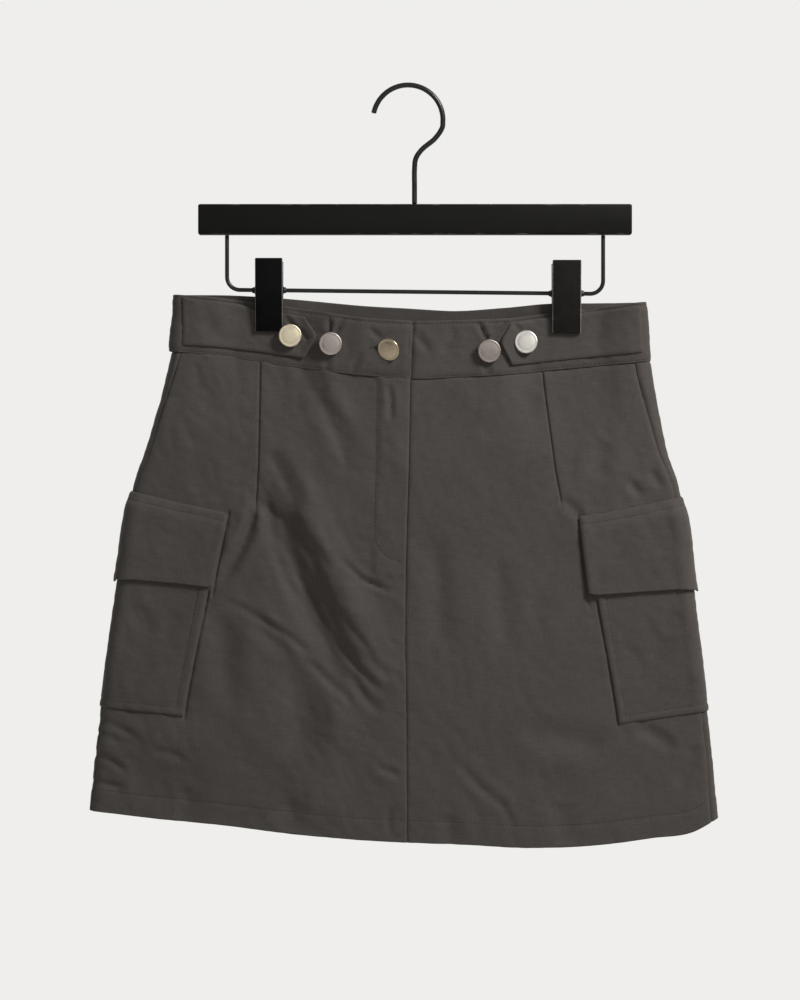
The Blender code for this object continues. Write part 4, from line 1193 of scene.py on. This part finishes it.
def edge_route(patch, outer, edge, inset, start, end):
    """Points on a piece's outside along one edge, at an inset, between two shares of it."""
    away = patch.from_edge(edge)
    points = []
    if edge in ("top", "bottom"):
        for column in range(outer.shape[1]):
            order = np.argsort(away[:, column])
            spot = [np.interp(inset, away[order, column], outer[order, column, axis])
                    for axis in range(3)]
            points.append(spot)
        share = patch.share(edge)[0]
    else:
        for row in range(outer.shape[0]):
            order = np.argsort(away[row])
            points.append([np.interp(inset, away[row, order], outer[row, order, axis])
                           for axis in range(3)])
        share = patch.share(edge)[:, 0]
    kept = (share >= start) & (share <= end)
    return np.array(points)[kept]


def spindle(builder, start, end, radius, sides=6):
    """One stitch: a thread that dips into the cloth at both ends."""
    along = (end - start).normalized()
    aside = along.orthogonal().normalized()
    other = along.cross(aside)
    rings = []
    for share, swell in ((0.0, 0.35), (0.22, 0.9), (0.5, 1.0), (0.78, 0.9), (1.0, 0.35)):
        centre = start.lerp(end, share)
        rings.append(ring_of(builder, centre, aside, other, swell * radius, sides))
    for upper, lower in zip(rings, rings[1:]):
        for k in range(sides):
            after = (k + 1) % sides
            builder.faces.new((upper[k], upper[after], lower[after], lower[k]))
    builder.faces.new(rings[0][::-1])
    builder.faces.new(rings[-1])


def sew(builder, route, outward, pitch, length, radius):
    """Sews a row of stitches along a route of millimetre points."""
    arc = arc_marks(route)
    count = int(arc[-1] // pitch)
    slack = 0.5 * (arc[-1] - count * pitch)
    for number in range(count):
        begin = slack + number * pitch
        ends = []
        for at in (begin, begin + length):
            spot = [np.interp(at, arc, route[:, axis]) for axis in range(3)]
            push = [np.interp(at, arc, outward[:, axis]) for axis in range(3)]
            ends.append(Vector(spot) * MM + Vector(push) * radius * 0.35)
        spindle(builder, ends[0], ends[1], radius)


def route_outward(route, tree):
    """The cloth's outward direction at each point of a route."""
    found = [tree.find_nearest(Vector(point) * MM)[1] for point in route]
    return np.array([list(normal) for normal in found])


def laid_on(route, tree):
    """A route of (x, z) points dropped from the front onto a piece, with its directions."""
    route = np.array(route)
    arc = np.concatenate([[0.0], np.cumsum(np.hypot(*np.diff(route, axis=0).T))])
    marks = np.arange(0.0, arc[-1], 0.8)
    spots, normals = [], []
    for at in marks:
        x = np.interp(at, arc, route[:, 0])
        z = np.interp(at, arc, route[:, 1])
        hit, normal, _index, _distance = tree.ray_cast(Vector((x, -60.0, z)) * MM, Vector((0, 1, 0)))
        if hit is not None:
            spots.append(list(hit / MM))
            normals.append(list(normal))
    return np.array(spots), np.array(normals)


def piece_tree(name):
    """A search tree of one piece's faces."""
    mesh = PIECES[name][0].data
    vertices = [vertex.co.copy() for vertex in mesh.vertices]
    return BVHTree.FromPolygons(vertices, [face.vertices[:] for face in mesh.polygons])


def make_stitches():
    """Joins each piece's stitches into one mesh that lies in its channels."""
    by_piece = {}
    for name, edge, inset, start, end in STITCH_ROWS:
        by_piece.setdefault(name, []).append((edge, inset, start, end))
    for name, rows in by_piece.items():
        _piece, patch, outer = PIECES[name]
        tree = piece_tree(name)
        builder = bmesh.new()
        for edge, inset, start, end in rows:
            route = edge_route(patch, outer, edge, inset, start, end)
            outward = route_outward(route, tree)
            sew(builder, route, outward, STITCH_PITCH, STITCH_LENGTH, THREAD_RADIUS * MM)
        if name == "front_right":
            route, outward = laid_on(FLY_STITCHES, tree)
            sew(builder, route, outward, STITCH_PITCH, STITCH_LENGTH, THREAD_RADIUS * MM)
        if name == "waistband_front_right":
            sew_buttonhole(builder, tree)
        finish_piece(built_object("stitches_" + name, builder, THREAD_FINISH), "cloth")


def sew_buttonhole(builder, tree):
    """Close-set stitches across both lips of the buttonhole."""
    (left, z), (right, _z) = BUTTONHOLE
    for side in (-1.0, 1.0):
        for x in np.arange(left - 0.6, right + 0.7, 0.42):
            across = ((x, z + side * 0.35), (x, z + side * 1.55))
            spots, normals = laid_on(across + (across[-1],), tree)
            if len(spots) > 1:
                ends = [Vector(spots[i]) * MM + Vector(normals[i]) * 0.00008 for i in (0, -1)]
                spindle(builder, ends[0], ends[1], 0.00022, 5)


# ----------------------------------------------------------------------------- the buttons

def turned(name, profile, steps, finish):
    """A shape turned round Z from a profile of (radius, height) in millimetres."""
    builder = bmesh.new()
    rings = []
    for radius, height in profile:
        if radius == 0.0:
            rings.append([builder.verts.new((0.0, 0.0, height * MM))])
            continue
        centre = Vector((0.0, 0.0, height * MM))
        rings.append(ring_of(builder, centre, Vector((1, 0, 0)), Vector((0, 1, 0)), radius * MM,
                             steps))
    join_rings(builder, rings)
    bmesh.ops.recalc_face_normals(builder, faces=builder.faces)
    return built_object(name, builder, finish, sharp=TURNED_SHARP)


def make_buttons():
    """Each button: a cap with a rolled rim on a shank, tilted as it hangs on its thread."""
    radius = bpy.context.scene.skirt_hardware.button_radius / MM
    top = BUTTON_TOP
    profile = (
        (0.0, top + 0.45), (radius * 0.25, top + 0.42), (radius * 0.5, top + 0.31),
        (radius * 0.7, top + 0.14), (radius - 1.7, top - 0.06),
        (radius - 1.2, top + 0.02), (radius - 0.8, top + 0.06), (radius - 0.35, top - 0.06),
        (radius - 0.08, top - 0.38), (radius, top - 0.85), (radius - 0.06, top - 1.5),
        (radius - 0.35, top - 2.0), (radius - 0.9, top - 2.25), (radius - 3.0, top - 2.3),
        (2.8, top - 2.4), (2.6, top - 3.4), (0.0, top - 3.4),
    )
    for name, x, z, tilt_x, tilt_z, finish in BUTTONS:
        _low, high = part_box(name)
        piece = turned(name, profile, 72, BUTTON_FINISHES[finish])
        piece.rotation_euler = (math.radians(90.0 + tilt_x), 0.0, math.radians(tilt_z))
        piece.location = Vector((x * MM, high.y, z * MM))
        finish_piece(piece, "button_metal", name)


# ------------------------------------------------------------------------------ the hanger

def wire(name, path, radius, finish):
    """A round wire along a path of millimetre points, as a smooth mesh."""
    sides = bpy.context.scene.skirt_hardware.wire_segments
    points = [Vector((x, 0.0, z)) * MM for x, z in path]
    builder = bmesh.new()
    rings = []
    for index, point in enumerate(points):
        before = points[max(index - 1, 0)]
        after = points[min(index + 1, len(points) - 1)]
        along = (after - before).normalized()
        aside = Vector((0.0, 1.0, 0.0))
        other = along.cross(aside)
        rings.append(ring_of(builder, point, aside, other, radius * MM, sides))
    join_rings(builder, rings)
    caps = [builder.faces.new(rings[0]), builder.faces.new(rings[-1][::-1])]
    rims = [edge for cap in caps for edge in cap.edges]
    bmesh.ops.bevel(builder, geom=rims, offset=radius * 0.4 * MM, segments=3, affect="EDGES",
                    profile=0.5)
    bmesh.ops.recalc_face_normals(builder, faces=builder.faces)
    return built_object(name, builder, finish)


def make_hook():
    """The hook: a round bend open on the left, and a tail that swings in over the bar."""
    centre_z = HOOK_WIRE / 2.0 - HOOK_BEND
    angles = np.radians(np.linspace(HOOK_OPENS_AT, 0.0, 60))
    bend = [(HOOK_BEND * math.cos(a), centre_z + HOOK_BEND * math.sin(a)) for a in angles]
    tail = np.array([bend[-1]] + list(HOOK_TAIL))
    steps = np.arange(len(tail))
    fine = np.linspace(0.0, steps[-1], 8 * steps[-1] + 1)[1:]
    swung = np.stack([curve(steps, tail[:, axis], fine) for axis in range(2)], axis=1)
    hook = wire("hanger_hook", bend + [tuple(spot) for spot in swung], HOOK_WIRE / 2.0, WIRE_FINISH)
    finish_piece(hook, "coated_wire", "hanger_hook")


def make_clip_wire():
    """The U-shaped wire under the bar that the clips slide on."""
    bend = CLIP_WIRE_BEND
    left_x, left_z = CLIP_WIRE_LEFT
    right_x, right_z = CLIP_WIRE_RIGHT
    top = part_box("hanger_clip_wire")[1].z / MM
    quarter = np.radians(np.linspace(0.0, 90.0, 16))
    path = [(left_x, top), (left_x, 0.5 * (top + left_z))]
    path += [(left_x + bend - bend * math.cos(a), left_z + bend - bend * math.sin(a))
             for a in quarter]
    path += [(right_x - bend + bend * math.sin(a), right_z + bend - bend * math.cos(a))
             for a in quarter]
    path += [(right_x, 0.5 * (top + right_z)), (right_x, top)]
    piece = wire("hanger_clip_wire", path, CLIP_WIRE / 2.0, WIRE_FINISH)
    finish_piece(piece, "coated_wire", "hanger_clip_wire")


def wire_z(x):
    """The height of the clip wire's middle at an x between its bends."""
    left_x, left_z = CLIP_WIRE_LEFT
    right_x, right_z = CLIP_WIRE_RIGHT
    start = left_x + CLIP_WIRE_BEND
    end = right_x - CLIP_WIRE_BEND
    return left_z + (right_z - left_z) * (x - start) / (end - start)


def rounded_block(name, corners, width, edge, finish, edge_highlight_finish=None):
    """A side outline of (y, z) points made a block along X, with rounded edges; a second finish
    paints a highlight on the rounded side flanks.
    """
    builder = bmesh.new()
    ends = [[builder.verts.new((sign * width * 0.5 * MM, y * MM, z * MM)) for y, z in corners]
            for sign in (-1.0, 1.0)]
    count = len(corners)
    builder.faces.new(ends[0])
    builder.faces.new(ends[1][::-1])
    for k in range(count):
        after = (k + 1) % count
        builder.faces.new((ends[0][k], ends[1][k], ends[1][after], ends[0][after]))
    bmesh.ops.recalc_face_normals(builder, faces=builder.faces)
    shown = [edge_ for edge_ in builder.edges if edge_.calc_face_angle(0.0) > math.radians(25.0)]
    bmesh.ops.bevel(builder, geom=shown, offset=edge * MM, segments=4, affect="EDGES",
                    profile=0.5, material=1 if edge_highlight_finish else -1, clamp_overlap=True)
    # The rounded side flanks keep the painted edge highlight; every other face goes back to the
    # first finish
    for face in builder.faces:
        flank = abs(face.normal.z) < 0.35 and 0.2 < abs(face.normal.x) < 0.98
        if face.material_index == 1 and not flank:
            face.material_index = 0
    finishes = (finish, edge_highlight_finish) if edge_highlight_finish else (finish,)
    return built_object(name, builder, *finishes, sharp=BLOCK_SHARP)


def make_bar():
    """The flat lacquered bar, its edges rounded, with a painted highlight in patches along them."""
    low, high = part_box("hanger_bar")
    middle = 0.5 * (low + high)
    size = (high - low) / MM
    corners = [(-size.y / 2.0, -size.z / 2.0), (size.y / 2.0, -size.z / 2.0),
               (size.y / 2.0, size.z / 2.0), (-size.y / 2.0, size.z / 2.0)]
    bar = rounded_block("hanger_bar", corners, size.x, 1.6, BAR_FINISH)
    bar.location = middle
    finish_piece(bar, "bar_lacquer", "hanger_bar")


def make_clips():
    """Each clip: two jaws that grip the band, and the spring barrel round the wire."""
    for side, x, width, top_z in CLIPS:
        for jaw, outline, facing in (("front", FRONT_JAW, -1.0), ("back", BACK_JAW, 1.0)):
            name = "clip_" + side + "_" + jaw
            corners = [(facing * off, top_z - below) for off, below in outline]
            piece = rounded_block(name, corners, width, 0.75, CLIP_FINISHES[side],
                                  EDGE_HIGHLIGHT_FINISHES[side])
            piece.location.x = x * MM
            finish_piece(piece, "clip_plastic", name)
        half = 0.5 * width + 2.6
        bore = CLIP_WIRE / 2.0 + 0.1
        rib = 1.15
        profile = [(bore, half), (1.9, half), (2.2, half - 0.4), (2.4, half - 1.6),
                   (3.7, half - 2.6)]
        for turn in range(int((2.0 * half - 5.0) / rib)):
            start = half - 2.5 - turn * rib
            profile += [(4.0, start - 0.25 * rib), (4.05, start - 0.5 * rib), (3.75, start - rib)]
        profile += [(3.7, 2.6 - half), (2.4, 1.6 - half), (2.2, 0.4 - half), (1.9, -half),
                    (bore, -half), (bore, half)]
        name = "clip_" + side + "_spring"
        piece = turned(name, profile, 32, SPRING_FINISH)
        piece.rotation_euler = (0.0, math.radians(90.0), 0.0)
        piece.location = Vector((x, 0.0, wire_z(x))) * MM
        finish_piece(piece, "spring_steel", name)


# ---------------------------------------------------------------------------- the finishes

def add_node(tree, kind, inputs=None, **settings):
    """Adds a node; an input that is a socket is linked, any other value is set."""
    made = tree.nodes.new(kind)
    for setting, value in settings.items():
        setattr(made, setting, value)
    for key, value in (inputs or {}).items():
        if isinstance(value, bpy.types.NodeSocket):
            tree.links.new(value, made.inputs[key])
        else:
            made.inputs[key].default_value = value
    return made


def new_finish(name):
    """An empty material with its shader and its output linked."""
    finish = bpy.data.materials.new(name)
    finish.use_nodes = True
    tree = finish.node_tree
    return tree, tree.nodes["Principled BSDF"]


def stretched_noise(tree, where, sizes, detail, offset=0.0):
    """Noise of a size of its own along each axis, in millimetres."""
    mapping = add_node(tree, "ShaderNodeMapping", {
        "Vector": where, "Scale": tuple(1.0 / (size * MM) for size in sizes),
        "Location": (offset, offset, offset)})
    return add_node(tree, "ShaderNodeTexNoise", {
        "Vector": mapping.outputs["Vector"], "Scale": 1.0, "Detail": detail,
        "Roughness": 0.6}).outputs["Fac"]


def woven_cloth(name, colour, is_thread=False):
    """Dry woven cotton-nylon: matt, charcoal brown, a fine plain weave with uneven slubs."""
    tree, shader = new_finish(name)
    flat = add_node(tree, "ShaderNodeUVMap", uv_map="cloth").outputs["UV"]
    space = add_node(tree, "ShaderNodeTexCoord").outputs["Object"]
    where = space if is_thread else flat
    threads = []
    for direction in ("X", "Y"):
        threads.append(add_node(tree, "ShaderNodeTexWave", {
            "Vector": where, "Scale": WAVE_PERIOD / THREAD_SPACING, "Distortion": 1.2,
            "Detail": 1.0, "Detail Scale": 2.0}, bands_direction=direction).outputs["Fac"])
    weave = add_node(tree, "ShaderNodeMath", {0: threads[0], 1: threads[1]}, operation="MULTIPLY")
    weft = stretched_noise(tree, where, (8.333333, 1.111111, 2.5), 2.0)
    warp = stretched_noise(tree, where, (1.111111, 8.333333, 2.5), 2.0, 3.0)
    slub = add_node(tree, "ShaderNodeMath", {0: weft, 1: warp}, operation="ADD")
    cloudy = stretched_noise(tree, space, (38.461538, 38.461538, 38.461538), 3.0, 7.0)
    shade = add_node(tree, "ShaderNodeMapRange", {
        "Value": slub.outputs[0], "From Min": 0.7, "From Max": 1.3, "To Min": 0.89, "To Max": 1.11})
    fade = add_node(tree, "ShaderNodeMapRange", {
        "Value": cloudy, "From Min": 0.3, "From Max": 0.7, "To Min": 0.94, "To Max": 1.06})
    both = add_node(tree, "ShaderNodeMath", {0: shade.outputs[0], 1: fade.outputs[0]},
                    operation="MULTIPLY")
    tint = add_node(tree, "ShaderNodeVectorMath", {0: colour, "Scale": both.outputs[0]},
                    operation="SCALE")
    tree.links.new(tint.outputs["Vector"], shader.inputs["Base Color"])
    fine = add_node(tree, "ShaderNodeBump", {
        "Height": weave.outputs[0], "Strength": 0.35, "Distance": 0.00008})
    rough = add_node(tree, "ShaderNodeBump", {
        "Height": slub.outputs[0], "Strength": 0.55, "Distance": 0.00022,
        "Normal": fine.outputs["Normal"]})
    crumple = stretched_noise(tree, where, (9.090909, 3.846154, 6.25), 4.0, 5.0)
    dry = add_node(tree, "ShaderNodeBump", {
        "Height": crumple, "Strength": 0.4, "Distance": 0.0007, "Normal": rough.outputs["Normal"]})
    tree.links.new(dry.outputs["Normal"], shader.inputs["Normal"])
    shader.inputs["Roughness"].default_value = 0.78
    shader.inputs["Specular IOR Level"].default_value = 0.2
    shader.inputs["Sheen Weight"].default_value = 0.22
    shader.inputs["Sheen Roughness"].default_value = 0.45
    shader.inputs["Sheen Tint"].default_value = (0.75, 0.70, 0.64, 1.0)


def plated_metal(name, colour, roughness):
    """Satin plate on a pressed metal cap: bright, softly blurred, with faint handling marks."""
    tree, shader = new_finish(name)
    space = add_node(tree, "ShaderNodeTexCoord").outputs["Object"]
    grain = stretched_noise(tree, space, (0.666667, 0.666667, 0.666667), 3.0)
    marks = stretched_noise(tree, space, (4.166667, 4.166667, 4.166667), 4.0, 5.0)
    rough = add_node(tree, "ShaderNodeMapRange", {
        "Value": marks, "From Min": 0.3, "From Max": 0.7, "To Min": roughness - 0.08,
        "To Max": roughness + 0.10})
    shade = add_node(tree, "ShaderNodeMapRange", {
        "Value": marks, "From Min": 0.3, "From Max": 0.7, "To Min": 0.92, "To Max": 1.06})
    tint = add_node(tree, "ShaderNodeVectorMath", {0: colour, "Scale": shade.outputs[0]},
                    operation="SCALE")
    bump = add_node(tree, "ShaderNodeBump", {
        "Height": grain, "Strength": 0.25, "Distance": 0.00006})
    tree.links.new(tint.outputs["Vector"], shader.inputs["Base Color"])
    tree.links.new(rough.outputs[0], shader.inputs["Roughness"])
    tree.links.new(bump.outputs["Normal"], shader.inputs["Normal"])
    shader.inputs["Metallic"].default_value = 1.0


def beside_faces(tree, share, start, full):
    """1 beside the two faces that a share of 0 and 1 stand for, and 0 between them."""
    middle = add_node(tree, "ShaderNodeMath", {0: share, 1: 0.5}, operation="SUBTRACT")
    away = add_node(tree, "ShaderNodeMath", {0: middle.outputs[0]}, operation="ABSOLUTE")
    near = add_node(tree, "ShaderNodeMapRange", {
        "Value": away.outputs[0], "From Min": start, "From Max": full})
    return near.outputs[0]


def lacquered_wood(name, colour):
    """Black lacquer over wood: satin, with the grain showing faintly and a painted highlight in
    patches along its long edges.
    """
    tree, shader = new_finish(name)
    coordinates = add_node(tree, "ShaderNodeTexCoord")
    space = coordinates.outputs["Object"]
    grain = stretched_noise(tree, space, (71.428571, 3.333333, 1.428571), 4.0)
    cloudy = stretched_noise(tree, space, (33.333333, 33.333333, 16.666667), 3.0, 4.0)
    patchy = stretched_noise(tree, space, (11.111111, 5.0, 5.0), 4.0, 9.0)
    # A painted highlight in patches along the bar's four long edges, where its top and bottom meet
    # its front and back
    share = add_node(tree, "ShaderNodeSeparateXYZ", {"Vector": coordinates.outputs["Generated"]})
    high = beside_faces(tree, share.outputs["Z"], 0.455, 0.49)
    deep = beside_faces(tree, share.outputs["Y"], 0.43, 0.48)
    near = add_node(tree, "ShaderNodeMath", {0: high, 1: deep}, operation="MULTIPLY")
    highlight_patches = add_node(tree, "ShaderNodeMapRange", {
        "Value": patchy, "From Min": 0.52, "From Max": 0.66})
    edge_highlight = add_node(tree, "ShaderNodeMath", {0: near.outputs[0], 1: highlight_patches.outputs[0]},
                      operation="MULTIPLY")
    shade = add_node(tree, "ShaderNodeMapRange", {
        "Value": cloudy, "From Min": 0.3, "From Max": 0.7, "To Min": 0.85, "To Max": 1.2})
    tint = add_node(tree, "ShaderNodeVectorMath", {0: colour, "Scale": shade.outputs[0]},
                    operation="SCALE")
    mixed = add_node(tree, "ShaderNodeMix", {
        "Factor": edge_highlight.outputs[0], 6: tint.outputs["Vector"], 7: (*linear(EDGE_HIGHLIGHT_WOOD), 1.0)},
        data_type="RGBA")
    tree.links.new(mixed.outputs[2], shader.inputs["Base Color"])
    bump = add_node(tree, "ShaderNodeBump", {
        "Height": grain, "Strength": 0.25, "Distance": 0.00012})
    tree.links.new(bump.outputs["Normal"], shader.inputs["Normal"])
    rough = add_node(tree, "ShaderNodeMapRange", {
        "Value": cloudy, "From Min": 0.3, "From Max": 0.7, "To Min": 0.42, "To Max": 0.55})
    tree.links.new(rough.outputs[0], shader.inputs["Roughness"])
    shader.inputs["Specular IOR Level"].default_value = 0.14
    shader.inputs["Coat Weight"].default_value = 0.05
    shader.inputs["Coat Roughness"].default_value = 0.3


def dark_coat(name, colour, roughness, gloss):
    """A smooth dark skin with a slight orange peel: coated wire, blackened steel, moulded ABS."""
    tree, shader = new_finish(name)
    space = add_node(tree, "ShaderNodeTexCoord").outputs["Object"]
    peel = stretched_noise(tree, space, (2.0, 2.0, 2.0), 2.0)
    scuffs = stretched_noise(tree, space, (6.25, 6.25, 6.25), 4.0, 6.0)
    shade = add_node(tree, "ShaderNodeMapRange", {
        "Value": scuffs, "From Min": 0.35, "From Max": 0.65, "To Min": 0.8, "To Max": 1.25})
    tint = add_node(tree, "ShaderNodeVectorMath", {0: colour, "Scale": shade.outputs[0]},
                    operation="SCALE")
    bump = add_node(tree, "ShaderNodeBump", {
        "Height": peel, "Strength": 0.15, "Distance": 0.0001})
    rough = add_node(tree, "ShaderNodeMapRange", {
        "Value": scuffs, "From Min": 0.3, "From Max": 0.7, "To Min": roughness - 0.05,
        "To Max": roughness + 0.08})
    tree.links.new(tint.outputs["Vector"], shader.inputs["Base Color"])
    tree.links.new(rough.outputs[0], shader.inputs["Roughness"])
    tree.links.new(bump.outputs["Normal"], shader.inputs["Normal"])
    shader.inputs["Specular IOR Level"].default_value = gloss
    shader.inputs["Coat Weight"].default_value = 0.04
    shader.inputs["Coat Roughness"].default_value = 0.2


def make_finishes():
    """Every finish of the skirt and its hanger."""
    cloth = bpy.context.scene.skirt_cloth
    hardware = bpy.context.scene.skirt_hardware
    woven_cloth(CLOTH_FINISH, tuple(cloth.colour))
    woven_cloth(THREAD_FINISH, tuple(cloth.thread_colour), is_thread=True)
    # One nickel plate in lit and shaded copies (painted highlight and painted shade), then the brass
    plated_metal(BUTTON_FINISHES["bright"], tuple(hardware.lit_plate_colour), 0.42)
    plated_metal(BUTTON_FINISHES["shaded"], tuple(hardware.shade_plate_colour), 0.46)
    deep_shade_plate = tuple(DEEP_SHADE_SHARE * share for share in hardware.shade_plate_colour)
    plated_metal(BUTTON_FINISHES["pale"], linear(HIGHLIGHT_PLATE_COLOUR), 0.42)
    plated_metal(BUTTON_FINISHES["dull"], deep_shade_plate, 0.48)
    plated_metal(BUTTON_FINISHES["brass"], tuple(hardware.brass_colour), 0.34)
    lacquered_wood(BAR_FINISH, tuple(hardware.lacquer_colour))
    for name, colour, roughness, gloss in DARK_COATS:
        dark_coat(name, linear(colour), roughness, gloss)


# ------------------------------------------------------------------------------- the stage

def aim(item, target):
    """Turns a light or camera to look at a point."""
    direction = Vector(target) - item.location
    item.rotation_euler = direction.to_track_quat("-Z", "Y").to_euler()


def area_light(name, location, target, power, width, height, colour):
    """One soft rectangular light."""
    data = bpy.data.lights.new(name, "AREA")
    data.shape = "RECTANGLE"
    data.size = width
    data.size_y = height
    data.energy = power
    data.color = colour
    item = bpy.data.objects.new(name, data)
    bpy.context.scene.collection.objects.link(item)
    item.location = location
    item.visible_camera = False
    aim(item, target)
    return item


def make_stage():
    """A level camera before the cloth, soft light from the upper right, and a pale floor."""
    stage = bpy.context.scene.skirt_stage
    middle_x, middle_z = VIEW_CENTRE
    data = bpy.data.cameras.new("camera")
    data.sensor_width = 36.0
    data.lens = data.sensor_width * stage.camera_distance / stage.view_height
    camera = bpy.data.objects.new("camera", data)
    bpy.context.scene.collection.objects.link(camera)
    camera.location = (middle_x * MM, VIEW_PLANE_Y - stage.camera_distance, middle_z * MM)
    camera.rotation_euler = (math.radians(90.0), 0.0, 0.0)
    bpy.context.scene.camera = camera
    for name, power, place, width, height, colour in LIGHTS:
        area_light(name, place, LIT_POINT, getattr(stage, power), width, height, colour)
    world = bpy.context.scene.world or bpy.data.worlds.new("world")
    bpy.context.scene.world = world
    world.use_nodes = True
    tree = world.node_tree
    tree.nodes.clear()
    seen = add_node(tree, "ShaderNodeLightPath").outputs["Is Camera Ray"]
    direction = add_node(tree, "ShaderNodeTexCoord").outputs["Generated"]
    back_to_front = add_node(tree, "ShaderNodeSeparateXYZ", {"Vector": direction}).outputs["Y"]
    room = add_node(tree, "ShaderNodeMapRange", {
        "Value": back_to_front, "From Min": -1.0, "From Max": 0.6, "To Min": ROOM_LIGHT,
        "To Max": WALL_LIGHT})
    strength = add_node(tree, "ShaderNodeMapRange", {
        "Value": seen, "To Min": room.outputs[0], "To Max": 1.0})
    lit = add_node(tree, "ShaderNodeBackground", {
        "Color": (*stage.backdrop_colour, 1.0), "Strength": strength.outputs[0]})
    add_node(tree, "ShaderNodeOutputWorld", {"Surface": lit.outputs["Background"]})
    mesh = bpy.data.meshes.new("floor")
    builder = bmesh.new()
    bmesh.ops.create_circle(builder, cap_ends=True, segments=96, radius=FLOOR_RADIUS)
    builder.to_mesh(mesh)
    builder.free()
    floor = bpy.data.objects.new("floor", mesh)
    floor.location = (0.0, 0.0, FLOOR_Z)
    bpy.context.scene.collection.objects.link(floor)
    tree, shader = new_finish("pale_floor")
    shader.inputs["Base Color"].default_value = (*stage.backdrop_colour, 1.0)
    shader.inputs["Roughness"].default_value = 0.9
    mesh.materials.append(bpy.data.materials["pale_floor"])
    bpy.context.scene.view_settings.view_transform = "Standard"


# --------------------------------------------------------------------------- the operators

class SKIRT_OT_finishes(bpy.types.Operator):
    """Make the materials"""

    bl_idname = "skirt.finishes"
    bl_label = "Make finishes"

    def execute(self, context):
        make_finishes()
        return {"FINISHED"}


class SKIRT_OT_panels(bpy.types.Operator):
    """Cut the two fronts and the back"""

    bl_idname = "skirt.panels"
    bl_label = "Cut panels"

    def execute(self, context):
        make_panels()
        return {"FINISHED"}


class SKIRT_OT_waistband(bpy.types.Operator):
    """Make the three lengths of the waistband"""

    bl_idname = "skirt.waistband"
    bl_label = "Make waistband"

    def execute(self, context):
        make_waistband()
        return {"FINISHED"}


class SKIRT_OT_tabs(bpy.types.Operator):
    """Make the adjuster tabs"""

    bl_idname = "skirt.tabs"
    bl_label = "Make tabs"

    def execute(self, context):
        make_tabs()
        return {"FINISHED"}


class SKIRT_OT_pockets(bpy.types.Operator):
    """Make the cargo pockets and their flaps"""

    bl_idname = "skirt.pockets"
    bl_label = "Make pockets"

    def execute(self, context):
        make_pockets()
        make_flaps()
        return {"FINISHED"}


class SKIRT_OT_stitches(bpy.types.Operator):
    """Sew the rows of stitches"""

    bl_idname = "skirt.stitches"
    bl_label = "Sew stitches"

    def execute(self, context):
        make_stitches()
        return {"FINISHED"}


class SKIRT_OT_buttons(bpy.types.Operator):
    """Set the buttons"""

    bl_idname = "skirt.buttons"
    bl_label = "Set buttons"

    def execute(self, context):
        make_buttons()
        return {"FINISHED"}


class SKIRT_OT_hanger(bpy.types.Operator):
    """Make the hanger's hook, wire and bar"""

    bl_idname = "skirt.hanger"
    bl_label = "Make hanger"

    def execute(self, context):
        make_hook()
        make_clip_wire()
        make_bar()
        return {"FINISHED"}


class SKIRT_OT_clips(bpy.types.Operator):
    """Make the clips"""

    bl_idname = "skirt.clips"
    bl_label = "Make clips"

    def execute(self, context):
        make_clips()
        return {"FINISHED"}


class SKIRT_OT_stage(bpy.types.Operator):
    """Set the camera, the lights and the floor"""

    bl_idname = "skirt.stage"
    bl_label = "Set stage"

    def execute(self, context):
        make_stage()
        return {"FINISHED"}


OPERATORS = (
    SKIRT_OT_finishes, SKIRT_OT_panels, SKIRT_OT_waistband, SKIRT_OT_tabs, SKIRT_OT_pockets,
    SKIRT_OT_stitches, SKIRT_OT_buttons, SKIRT_OT_hanger, SKIRT_OT_clips, SKIRT_OT_stage,
)


class VIEW3D_PT_skirt(bpy.types.Panel):
    """The skirt's sizes, colours and steps, in the sidebar"""

    bl_idname = "VIEW3D_PT_skirt"
    bl_label = "Cargo Utility Skirt"
    bl_space_type = "VIEW_3D"
    bl_region_type = "UI"
    bl_category = "Skirt"

    def draw(self, context):
        layout = self.layout
        groups = (context.scene.skirt_cloth, context.scene.skirt_hardware, context.scene.skirt_stage)
        for group in groups:
            for name in group.__annotations__:
                layout.prop(group, name)
        for operator in OPERATORS:
            layout.operator(operator.bl_idname)


GROUPS = (
    ("skirt_cloth", ClothSettings), ("skirt_hardware", HardwareSettings),
    ("skirt_stage", StageSettings),
)


def register():
    """Adds the settings, the operators and the panel."""
    for name, group in GROUPS:
        bpy.utils.register_class(group)
        setattr(bpy.types.Scene, name, PointerProperty(type=group))
    for operator in OPERATORS:
        bpy.utils.register_class(operator)
    bpy.utils.register_class(VIEW3D_PT_skirt)


def unregister():
    """Takes them away again."""
    bpy.utils.unregister_class(VIEW3D_PT_skirt)
    for operator in reversed(OPERATORS):
        bpy.utils.unregister_class(operator)
    for name, group in GROUPS:
        delattr(bpy.types.Scene, name)
        bpy.utils.unregister_class(group)


def main():
    """Registers the add-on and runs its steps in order."""
    register()
    bpy.ops.skirt.finishes()
    bpy.ops.skirt.panels()
    bpy.ops.skirt.waistband()
    bpy.ops.skirt.tabs()
    bpy.ops.skirt.pockets()
    bpy.ops.skirt.stitches()
    bpy.ops.skirt.buttons()
    bpy.ops.skirt.hanger()
    bpy.ops.skirt.clips()
    bpy.ops.skirt.stage()


if __name__ == "__main__":
    main()
